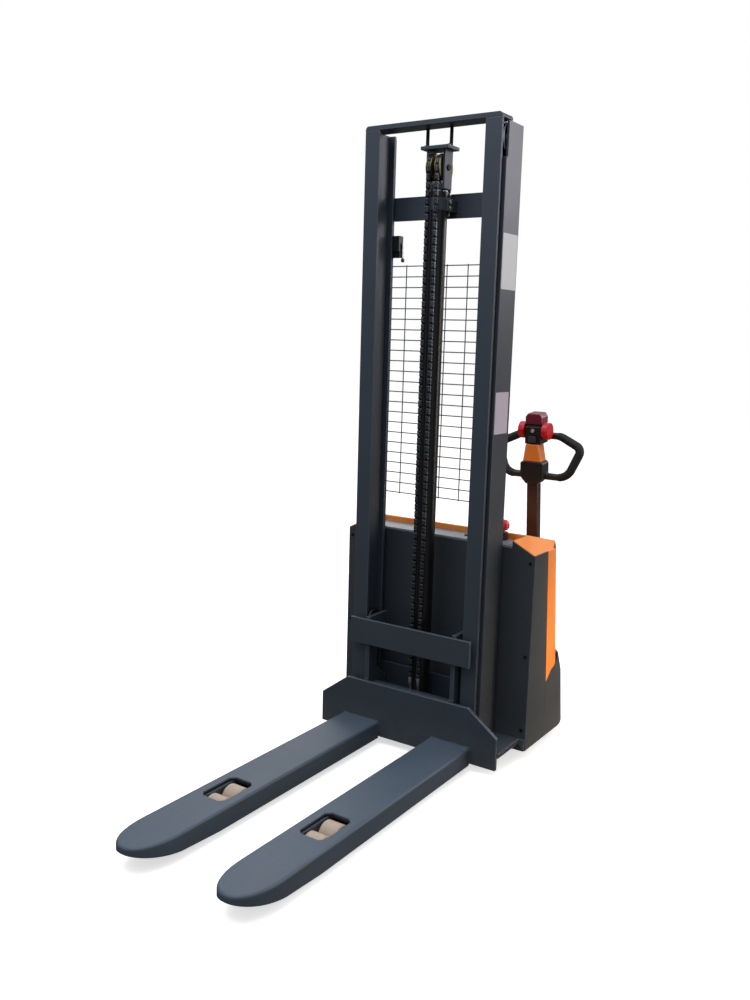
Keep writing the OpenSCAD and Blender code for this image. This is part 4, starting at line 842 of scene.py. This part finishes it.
# %% The chain rule
tree, given, result = rule("leaf_tree", {
    "Pitch": float, "Outer pack": "object", "Inner pack": "object", "Pin": "object"})
path = add(tree, "GeometryNodeMeshToCurve", {0: given["Geometry"]})
steps = add(tree, "GeometryNodeResampleCurve", {"mode": "LENGTH", "Curve": path,
    "Length": given["Pitch"]})
joints = add(tree, "GeometryNodeCurveToPoints", {"mode": "EVALUATED", "Curve": steps})
number = add(tree, "GeometryNodeInputIndex")
here = add(tree, "GeometryNodeInputPosition")
following = add(tree, "ShaderNodeMath", {"operation": "ADD", 0: number, 1: 1.0})
there = add(tree, "GeometryNodeFieldAtIndex", {"data_type": "FLOAT_VECTOR", "domain": "POINT",
    "Index": following, "Value": here})
onward = add(tree, "ShaderNodeVectorMath", {"operation": "SUBTRACT", 0: there, 1: here})
length = add(tree, "ShaderNodeVectorMath", {"operation": "LENGTH", 0: onward})
aim = add(tree, "FunctionNodeAlignRotationToVector", {"axis": "Z", "pivot_axis": "X", "Vector": onward})
stretch = add(tree, "ShaderNodeMath", {"operation": "DIVIDE", 0: length, 1: CHAIN_PITCH})
fit = add(tree, "ShaderNodeCombineXYZ", {"X": 1.0, "Y": 1.0, "Z": stretch})
on_a_chain = add(tree, "ShaderNodeMath", {"operation": "LESS_THAN", 0: length, 1: CHAIN_PITCH * 1.5})
not_last = add(tree, "ShaderNodeMath", {"operation": "GREATER_THAN", 0: length, 1: CHAIN_PITCH * 0.3})
linked = add(tree, "ShaderNodeMath", {"operation": "MULTIPLY", 0: on_a_chain, 1: not_last})
odd = add(tree, "ShaderNodeMath", {"operation": "MODULO", 0: number, 1: 2.0})
is_odd = add(tree, "ShaderNodeMath", {"operation": "MULTIPLY", 0: odd, 1: linked})
is_even = add(tree, "ShaderNodeMath", {"operation": "SUBTRACT", 0: linked, 1: is_odd})
laid = []
for label, chosen in (("Outer pack", is_even), ("Inner pack", is_odd), ("Pin", None)):
    shape = add(tree, "GeometryNodeObjectInfo", {"Object": given[label]})
    values = {"Points": joints, "Instance": shape.outputs["Geometry"]}
    if chosen:
        values.update({"Selection": chosen, "Rotation": aim, "Scale": fit})
    laid.append(add(tree, "GeometryNodeInstanceOnPoints", values))
chain = add(tree, "GeometryNodeJoinGeometry", {0: laid})
whole = add(tree, "GeometryNodeRealizeInstances", {0: chain})
feed(tree, result, {0: whole})
chain_rule = tree
print("chain rule nodes:", len(tree.nodes))

# %% [markdown]
# Each chain comes up from the carriage in front of its wheel, goes over the wheel and down behind
# it to the clamp. The front run and the wrap ride on their CAD nodes' bodies, and the rear run stays
# where it is. On the machine the front run gets shorter as the carriage climbs and the rear run
# gets longer.

# %% Chain runs
WRAP_STEPS = 24
front_low, front_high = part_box("chain_front_runs")
rear_low, rear_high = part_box("chain_rear_runs")
front_y = (front_low.y + front_high.y) / 2
rear_y = (rear_low.y + rear_high.y) / 2
wheel_z = front_high.z
wheel_y = (front_y + rear_y) / 2
wrap_radius = (rear_y - front_y) / 2
chain_xs = [side * (front_high.x - CHAIN_WIDTH / 2) for side in (-1, 1)]


def chain_piece(name, lines):
    """One chain stretch on both sides, with a pitch that divides its length."""
    length = sum((Vector(b) - Vector(a)).length for a, b in zip(lines[0], lines[0][1:]))
    pitch = length / round(length / CHAIN_PITCH)
    links = grow(name, chain_rule, {
        "Pitch": pitch * 0.9999, "Outer pack": outer_pack, "Inner pack": inner_pack, "Pin": pin},
        line_mesh(name + "_path", *lines))
    print(name, "pitch", round(pitch * 1000, 2), "mm,", len(links.data.polygons), "faces")
    return links


fronts = [[(x, front_y, front_low.z), (x, front_y, wheel_z)] for x in chain_xs]
rears = [[(x, rear_y, rear_low.z), (x, rear_y, wheel_z)] for x in chain_xs]
bends = [math.pi * i / WRAP_STEPS for i in range(WRAP_STEPS + 1)]
arcs = [[(x, wheel_y - wrap_radius * math.cos(bend), wheel_z + wrap_radius * math.sin(bend)) for bend in bends]
        for x in chain_xs]

front_links = chain_piece("chain_front_runs.links", fronts)
ride_as(front_links, "chain_front_runs")
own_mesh(front_links)
wrap_links = chain_piece("chain_wraps.links", arcs)
ride_as(wrap_links, "chain_wraps")
rear_links = chain_piece("chain_rear_runs.links", rears)
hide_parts("chain_rear_runs")
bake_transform(rear_links)
for helper in (outer_pack, inner_pack, pin):
    bpy.data.objects.remove(helper)

# %% [markdown]
# The frame is welded. A weld that is drawn by hand is a row of overlapping ripples, each a few
# millimetres wide. The rule follows lines, sets a small round bead at each step and varies its
# size a little, with a fixed seed so that every run gives the same weld. One object is grown for
# each body, because the carriage moves.

# %% The weld rule
BEAD = 3.2 * MM
BEAD_STEP = 4.2 * MM

tree, given, result = rule("weld_bead_rule", {
    "Bead radius": float, "Step": float, "Seed": int, "Finish": "material"})
seam = add(tree, "GeometryNodeMeshToCurve", {0: given["Geometry"]})
steps = add(tree, "GeometryNodeResampleCurve", {"mode": "LENGTH", "Curve": seam, "Length": given["Step"]})
tangent = add(tree, "GeometryNodeInputTangent")
along = add(tree, "FunctionNodeAlignRotationToVector", {"axis": "Z", "Vector": tangent})
size = add(tree, "FunctionNodeRandomValue", {"data_type": "FLOAT", 2: 0.85, 3: 1.12,
    "Seed": given["Seed"]})
ripple = add(tree, "GeometryNodeMeshUVSphere", {"Segments": 8, "Rings": 5, "Radius": given["Bead radius"]})
beads = add(tree, "GeometryNodeInstanceOnPoints", {"Points": steps, "Instance": ripple, "Rotation": along,
    "Scale": size})
end_rule(tree, result, beads, given["Finish"])
weld_rule = tree


def weld(name, body, lines, seed):
    beads = grow(name, weld_rule, {"Bead radius": BEAD, "Step": BEAD_STEP, "Seed": seed, "Finish": weld_steel},
                 line_mesh(name + "_lines", *lines))
    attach(beads, body)


print("weld rule nodes:", len(weld_rule.nodes))

# %% [markdown]
# Where the welds are: round the foot of each fork where it meets the carriage plate, and along the
# feet of the outer mast.

# %% Welds of the machine
carriage_lines = []
chassis_lines = []
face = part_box("carriage_plate")[0].y - 1 * MM
beam_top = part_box("outer_upright_left")[0].z
for side, outward in (("left", 1), ("right", -1)):
    low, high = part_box("fork_" + side)
    carriage_lines.append([(low.x + 4 * MM, face, high.z), (high.x - 4 * MM, face, high.z)])
    for x in (low.x - 1 * MM, high.x + 1 * MM):
        carriage_lines.append([(x, face, high.z - 8 * MM), (x, face, low.z + 18 * MM)])
    low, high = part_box("outer_upright_" + side)
    x = (high.x if side == "left" else low.x) + outward * MM
    chassis_lines.append([(x, low.y + 2 * MM, beam_top), (x, high.y - 2 * MM, beam_top)])
weld("fork_welds", "carriage", carriage_lines, 3)
weld("mast_foot_welds", "chassis", chassis_lines, 5)
print("welds drawn")

# %% [markdown]
# The remaining machine parts keep their CAD shape with rounded edges: turned and plated steel on
# the mast, castings and plates of the drive, and what lies under the hood. Each gets the finish
# that such a part has.

# %% Machine parts
machine_parts = {
    "load_roller_axles": (zinc_plate, 0.8 * MM), "lift_cylinder": (cylinder_paint, 1.2 * MM),
    "rear_chain_anchors": (zinc_plate, 0.6 * MM), "front_chain_anchors": (zinc_plate, 0.6 * MM),
    "outer_mast_rollers": (ground_steel, 0.8 * MM), "inner_mast_rollers": (ground_steel, 0.8 * MM),
    "carriage_rollers_upper": (ground_steel, 0.8 * MM), "carriage_rollers_lower": (ground_steel, 0.8 * MM),
    "piston_rod": (hard_chrome, 1.0 * MM), "crosshead_pins": (oiled_steel, 0.6 * MM),
    "chain_wheels": (yellow_zinc, 0.8 * MM), "batteries": (case_abs, 3 * MM),
    "pump_unit": (drive_paint, 2 * MM), "motor_controller": (ribbed_aluminium, 0.8 * MM),
    "hydraulic_pipe": (zinc_plate, 0.5 * MM), "limit_switch": (switch_abs, 1.5 * MM),
    "drive_gearbox": (drive_paint, 2 * MM), "drive_motor": (drive_paint, 2 * MM),
    "tiller_bracket": (drive_paint, 1.5 * MM), "caster_fork": (zinc_plate, 1.0 * MM),
    "key": (nickel_plate, 0.4 * MM), "cover_screws": (black_oxide, 0.5 * MM),
}
for node, (finish, width) in machine_parts.items():
    rounded(node, finish, width=width)
print("machine parts finished:", len(machine_parts))

# %% [markdown]
# The tiller's housing and loop are one moulding, and its parts flow into each other. A bevel can't
# make such fillets, so the CAD copy is rebuilt from even small cubes by the Remesh modifier, and
# the Smooth modifier then draws the steps and the sharp inner corners into soft ones.

# %% Covers and tiller


def melted(node, *materials, voxel=1.9 * MM, rounds=9):
    """A finished copy of a CAD node with soft fillets in its corners."""
    piece = from_bmesh(node + ".moulded", merged_copy(node), *materials)
    remesh = piece.modifiers.new("even_cubes", "REMESH")
    remesh.mode = "VOXEL"
    remesh.voxel_size = voxel
    relax = piece.modifiers.new("soft_corners", "SMOOTH")
    relax.iterations = rounds
    relax.factor = 0.5
    piece = settle(piece)
    for face in piece.data.polygons:
        face.use_smooth = True
    return ride_as(piece, node)


rounded("hood", hood_abs, width=6 * MM, segments=4, corner=24)
rounded("rear_skirt", cover_paint, width=5 * MM, segments=3, corner=24)
rounded("tiller_arm", arm_paint, width=4 * MM, segments=3)
head = melted("tiller_head", housing_abs)
rounded("head_cover", trim_abs, width=7 * MM, segments=4)
rounded("thumb_wheels", wing_abs, width=4 * MM, segments=3)
rounded("safety_button", button_abs, width=4 * MM, segments=3)
rounded("lift_rocker", rocker_abs, width=1.5 * MM)
rounded("horn_button", horn_glint_abs, width=1 * MM)
rounded("estop_button", wing_abs, width=1 * MM)
print("tiller head moulded:", len(head.data.polygons), "faces")

# %% [markdown]
# The smoothing leaves a fillet at the foot of the neck that the safety button slides on. Above the
# button's lowest place, the vertices go back to the neck's flat sides, so the button moves freely.

# %% Room for the safety button
TILLER_PIVOT = Vector((188 * MM, 885 * MM, 440 * MM))
TILLER_LEAN = math.radians(5.7)
NECK_HALF = 27 * MM
NECK_SIDES = (-8 * MM, 44 * MM)
BUTTON_STOP = 729.5 * MM
on_tiller = Matrix.Translation(TILLER_PIVOT) @ Matrix.Rotation(TILLER_LEAN, 4, "X")
off_tiller = on_tiller.inverted()
for vertex in head.data.vertices:
    x, across, along = off_tiller @ vertex.co
    if along > BUTTON_STOP:
        x = min(max(x, -NECK_HALF), NECK_HALF)
        across = min(max(across, NECK_SIDES[0]), NECK_SIDES[1])
        vertex.co = on_tiller @ Vector((x, across, along))
print("tiller pivot at", tuple(round(c, 3) for c in TILLER_PIVOT))

# %% [markdown]
# Three fittings stand on the deck and are one CAD node: the stop button's collar, the key lock
# and the battery gauge. Their faces are told apart by where they are, and each gets its own
# material from the piece's list.

# %% Deck fittings
fittings = rounded("deck_fittings", base_abs, zinc_plate, gauge_abs, width=1 * MM)
stop_x = middle("estop_button").x
key_x = middle("key").x
for face in fittings.data.polygons:
    if abs(face.center.x - stop_x) < 30 * MM:
        face.material_index = 0
    else:
        face.material_index = 1 if abs(face.center.x - key_x) < 20 * MM else 2
print("stop button at x", round(stop_x, 3), "key at x", round(key_x, 3))

# %% [markdown]
# Bolts repeat all over the machine. A bolt head is a hexagon with a worn, slightly narrower top
# on a round washer. One rule sets such a head on every point of a mesh. Its turn is an input, so
# the same rule serves bolts that face sideways and upwards. Screws with round heads are the same
# rule with more corners.

# %% The bolt rule
tree, given, result = rule("bolt_head_rule", {
    "Across corners": float, "Corners": int, "Turn": "direction", "Finish": "material"})
half, top, tall, wide, thin = (
    add(tree, "ShaderNodeMath", {"operation": "MULTIPLY", 0: given["Across corners"], 1: share})
    for share in (0.5, 0.43, 0.34, 0.62, 0.1))
washer = add(tree, "GeometryNodeMeshCylinder", {"Vertices": 20, "Radius": wide, "Depth": thin})
head = add(tree, "GeometryNodeMeshCone", {"Vertices": given["Corners"], "Radius Top": top,
    "Radius Bottom": half, "Depth": tall})
both = add(tree, "GeometryNodeJoinGeometry", {0: [washer, head]})
to_turn = add(tree, "FunctionNodeEulerToRotation", {0: given["Turn"]})
heads = add(tree, "GeometryNodeInstanceOnPoints", {"Points": given["Geometry"], "Instance": both,
    "Rotation": to_turn})
end_rule(tree, result, heads, given["Finish"])
bolt_rule = tree
FACING = {"up": (0, 0, 0), "plus_x": (0, math.pi / 2, 0), "minus_x": (0, -math.pi / 2, 0)}


def bolts(name, body, places, facing, across, corners=6):
    """Bolt heads at these places, all facing one way."""
    points = bpy.data.meshes.new(name + "_points")
    points.from_pydata([tuple(p) for p in places], [], [])
    heads = grow(name, bolt_rule, {"Across corners": across, "Corners": corners, "Turn": FACING[facing],
                                   "Finish": zinc_plate}, points)
    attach(heads, body)


print("bolt rule nodes:", len(bolt_rule.nodes))

# %% [markdown]
# Where they are: the chain clamp and the crosshead are bolted, the deck plate is held by small
# round screws, the drive wheel's hub has a ring of five bolts, and the drive motor stands on a
# flange with six. Each place is taken from the box of the part that carries it.

# %% Bolts of the machine
CLAMP_SIDE = 39.6 * MM
CLAMP_BEHIND_ROD = 16 * MM
CLAMP_HEIGHTS = (28 * MM, 48 * MM)
WHEEL_RING = 34 * MM
MOTOR_RING = 86 * MM


def ring_of(count, radius, start):
    """Places round a circle, from a starting angle in degrees."""
    angles = [math.radians(360 / count * i + start) for i in range(count)]
    return [(radius * math.cos(angle), radius * math.sin(angle)) for angle in angles]


clamp_y = middle("piston_rod").y + CLAMP_BEHIND_ROD
clamp_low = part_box("outer_crossbeam")[0].z
for name, x, facing in (("clamp_bolts_left", CLAMP_SIDE, "plus_x"),
                        ("clamp_bolts_right", -CLAMP_SIDE, "minus_x")):
    bolts(name, "chassis", [(x, clamp_y, clamp_low + up) for up in CLAMP_HEIGHTS], facing, 14 * MM)
low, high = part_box("crosshead")
bolts("crosshead_bolts", "inner_mast",
      [(x, low.y + 16 * MM, high.z) for x in (low.x + 9 * MM, high.x - 9 * MM)], "up", 13 * MM)
low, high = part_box("deck_cover")
bolts("deck_screws", "chassis", [(x, y, high.z) for x in (low.x + 18 * MM, high.x - 18 * MM)
                                 for y in (low.y + 16 * MM, high.y - 22 * MM)], "up", 9 * MM, corners=16)
face = drive_centre.x + drive_half - 9 * MM
places = [(face, drive_centre.y + a, drive_centre.z + b) for a, b in ring_of(5, WHEEL_RING, 18)]
bolts("wheel_bolts", body_of["drive_wheel"], places, "plus_x", 13 * MM)
motor = middle("drive_motor")
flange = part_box("drive_gearbox")[1].z
places = [(motor.x + a, motor.y + b, flange) for a, b in ring_of(6, MOTOR_RING, 30)]
bolts("motor_bolts", body_of["drive_motor"], places, "up", 13 * MM)
print("bolts are set")

# %% [markdown]
# Two vinyl labels stick on the side of the outer mast. On this part they are blank. A label is a
# sheet of 0.4 mm with rounded corners, and its edge shows only as a thin line. The small switch
# high on the mast is worked by a lever with a roller, which are pieces of their own here.

# %% Labels and switch lever
LABELS = [  # name, gap at the front edge, gap at the rear edge, lowest and highest point, finish
    ("upper_label", 4 * MM, 5 * MM, 1.648, 1.826, label_vinyl),
    ("lower_label", 5 * MM, 14 * MM, 1.172, 1.312, label_band),
]
LABEL_CORNER = 5 * MM
side_low, side_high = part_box("outer_upright_left")
for name, front_gap, rear_gap, bottom, top, material in LABELS:
    front = side_low.y + front_gap + LABEL_CORNER
    rear = side_high.y - rear_gap - LABEL_CORNER
    outline = []
    for y, z, start in ((rear, top - LABEL_CORNER, 0), (front, top - LABEL_CORNER, 90),
                        (front, bottom + LABEL_CORNER, 180), (rear, bottom + LABEL_CORNER, 270)):
        for i in range(7):
            angle = math.radians(start + 15 * i)
            outline.append((y + LABEL_CORNER * math.cos(angle), z + LABEL_CORNER * math.sin(angle)))
    bm = bmesh.new()
    rings = [[bm.verts.new((side_high.x + out, y, z)) for y, z in outline] for out in (-0.1 * MM, 0.4 * MM)]
    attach(from_rings(name, bm, rings, material), "chassis")

low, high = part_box("limit_switch")
lever_x = high.x + 4 * MM
lever_y = high.y - 8 * MM
lever_foot = (lever_y + 1 * MM, low.z - 9 * MM)
bm = bmesh.new()
rings = []
for y, z, half in ((lever_y, high.z - 24 * MM, 5 * MM), (lever_y, low.z + 2 * MM, 4 * MM),
                   (*lever_foot, 3.2 * MM)):
    rings.append([bm.verts.new((lever_x + dx, y + dy, z)) for dx, dy in
                  ((-2 * MM, -half), (2 * MM, -half), (2 * MM, half), (-2 * MM, half))])
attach(soften(from_rings("switch_lever", bm, rings, zinc_plate), 0.8 * MM), "chassis")
rim = [(-4 * MM, 1 * MM), (-4 * MM, 6 * MM), (-3 * MM, 7 * MM)]
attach(turned("switch_roller", rim, (lever_x, *lever_foot), 28, switch_abs), "chassis")
print("labels and lever are on")

# %% [markdown]
# The sides of the tiller's loop carry rubber grips. A grip is a sleeve that follows the tube, so it
# is swept: a circle is set across the path at each step. Its radius swells softly in the middle,
# ends in a rounded lip, and has shallow rings every 7 mm that stop wet hands from slipping.

# %% Rubber grips
LOOP_TILT = math.radians(14)
LOOP_BACK = 18 * MM
LOOP_LOW = 533 * MM
LOOP_CORNERS = [(0, 0), (127.7, 0), (174, 114.6), (84, 157), (0, 157)]
LOOP_RADII = [0, 55, 26, 60, 0]
TUBE = 14 * MM
GRIP_SWELL = 2.2 * MM
GRIP_RING = 7 * MM
GRIP_SIDES = 24
GRIP_UNDER = 0.3 * MM
GRIP_LIP = 3 * MM


def loop_path(step=1.2):
    """Points along the middle line of the loop's +X half, in the loop's own plane, in millimetres."""
    points = []
    corners = [Vector(c) for c in LOOP_CORNERS]
    at = corners[0]
    for i in range(1, 4):
        way_in = (corners[i] - corners[i - 1]).normalized()
        way_out = (corners[i + 1] - corners[i]).normalized()
        bend = way_in.angle(way_out)
        cut = LOOP_RADII[i] * math.tan(bend / 2)
        start = corners[i] - cut * way_in
        steps = max(1, round((start - at).length / step))
        points += [at.lerp(start, k / steps) for k in range(steps)]
        centre = start + LOOP_RADII[i] * Vector((-way_in.y, way_in.x))
        steps = max(1, round(LOOP_RADII[i] * bend / step))
        points += [centre + Matrix.Rotation(bend * k / steps, 2) @ (start - centre) for k in range(steps)]
        at = corners[i] + cut * way_out
    steps = max(1, round((corners[4] - at).length / step))
    return points + [at.lerp(corners[4], k / steps) for k in range(steps + 1)]


def grip(name, side):
    """A rubber sleeve on one side of the loop, from the lower bar's bend to the upper bar. Its path
    is in millimetres."""
    place = on_tiller @ Matrix.Translation((0, LOOP_BACK, LOOP_LOW)) @ Matrix.Rotation(-LOOP_TILT, 4, "X")
    path = [p for p in loop_path() if p.x > 92 or (p.y > 60 and p.x > 74)]
    lengths = [0.0]
    for a, b in zip(path, path[1:]):
        lengths.append(lengths[-1] + (b - a).length * MM)
    total = lengths[-1]
    bm = bmesh.new()
    rings = []
    for number, point in enumerate(path):
        before, after = path[max(0, number - 1)], path[min(len(path) - 1, number + 1)]
        way = (after - before).normalized()
        across = Vector((-way.y, way.x))
        s = lengths[number]
        lip = min(1.0, s / GRIP_LIP, (total - s) / GRIP_LIP)
        swell = 0.6 * MM + GRIP_SWELL * math.sin(math.pi * s / total) ** 0.6 + GRIP_UNDER
        ring_cut = 0.45 * MM if (s % GRIP_RING) < 1.6 * MM and 12 * MM < s < total - 12 * MM else 0
        radius = TUBE - GRIP_UNDER + swell * math.sqrt(max(0.0, lip * (2 - lip))) - ring_cut
        ring = []
        for k in range(GRIP_SIDES):
            angle = 2 * math.pi * k / GRIP_SIDES
            flat = point * MM + across * radius * math.cos(angle)
            ring.append(bm.verts.new(place @ Vector((side * flat.x, radius * math.sin(angle), flat.y))))
        rings.append(ring)
    sleeve = from_rings(name, bm, rings, grip_rubber)
    smooth(sleeve.data)
    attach(sleeve, "tiller")
    return sleeve


for side, label in ((1, "left"), (-1, "right")):
    sleeve = grip("grip_" + label, side)
    print(sleeve.name, len(sleeve.data.polygons), "faces")
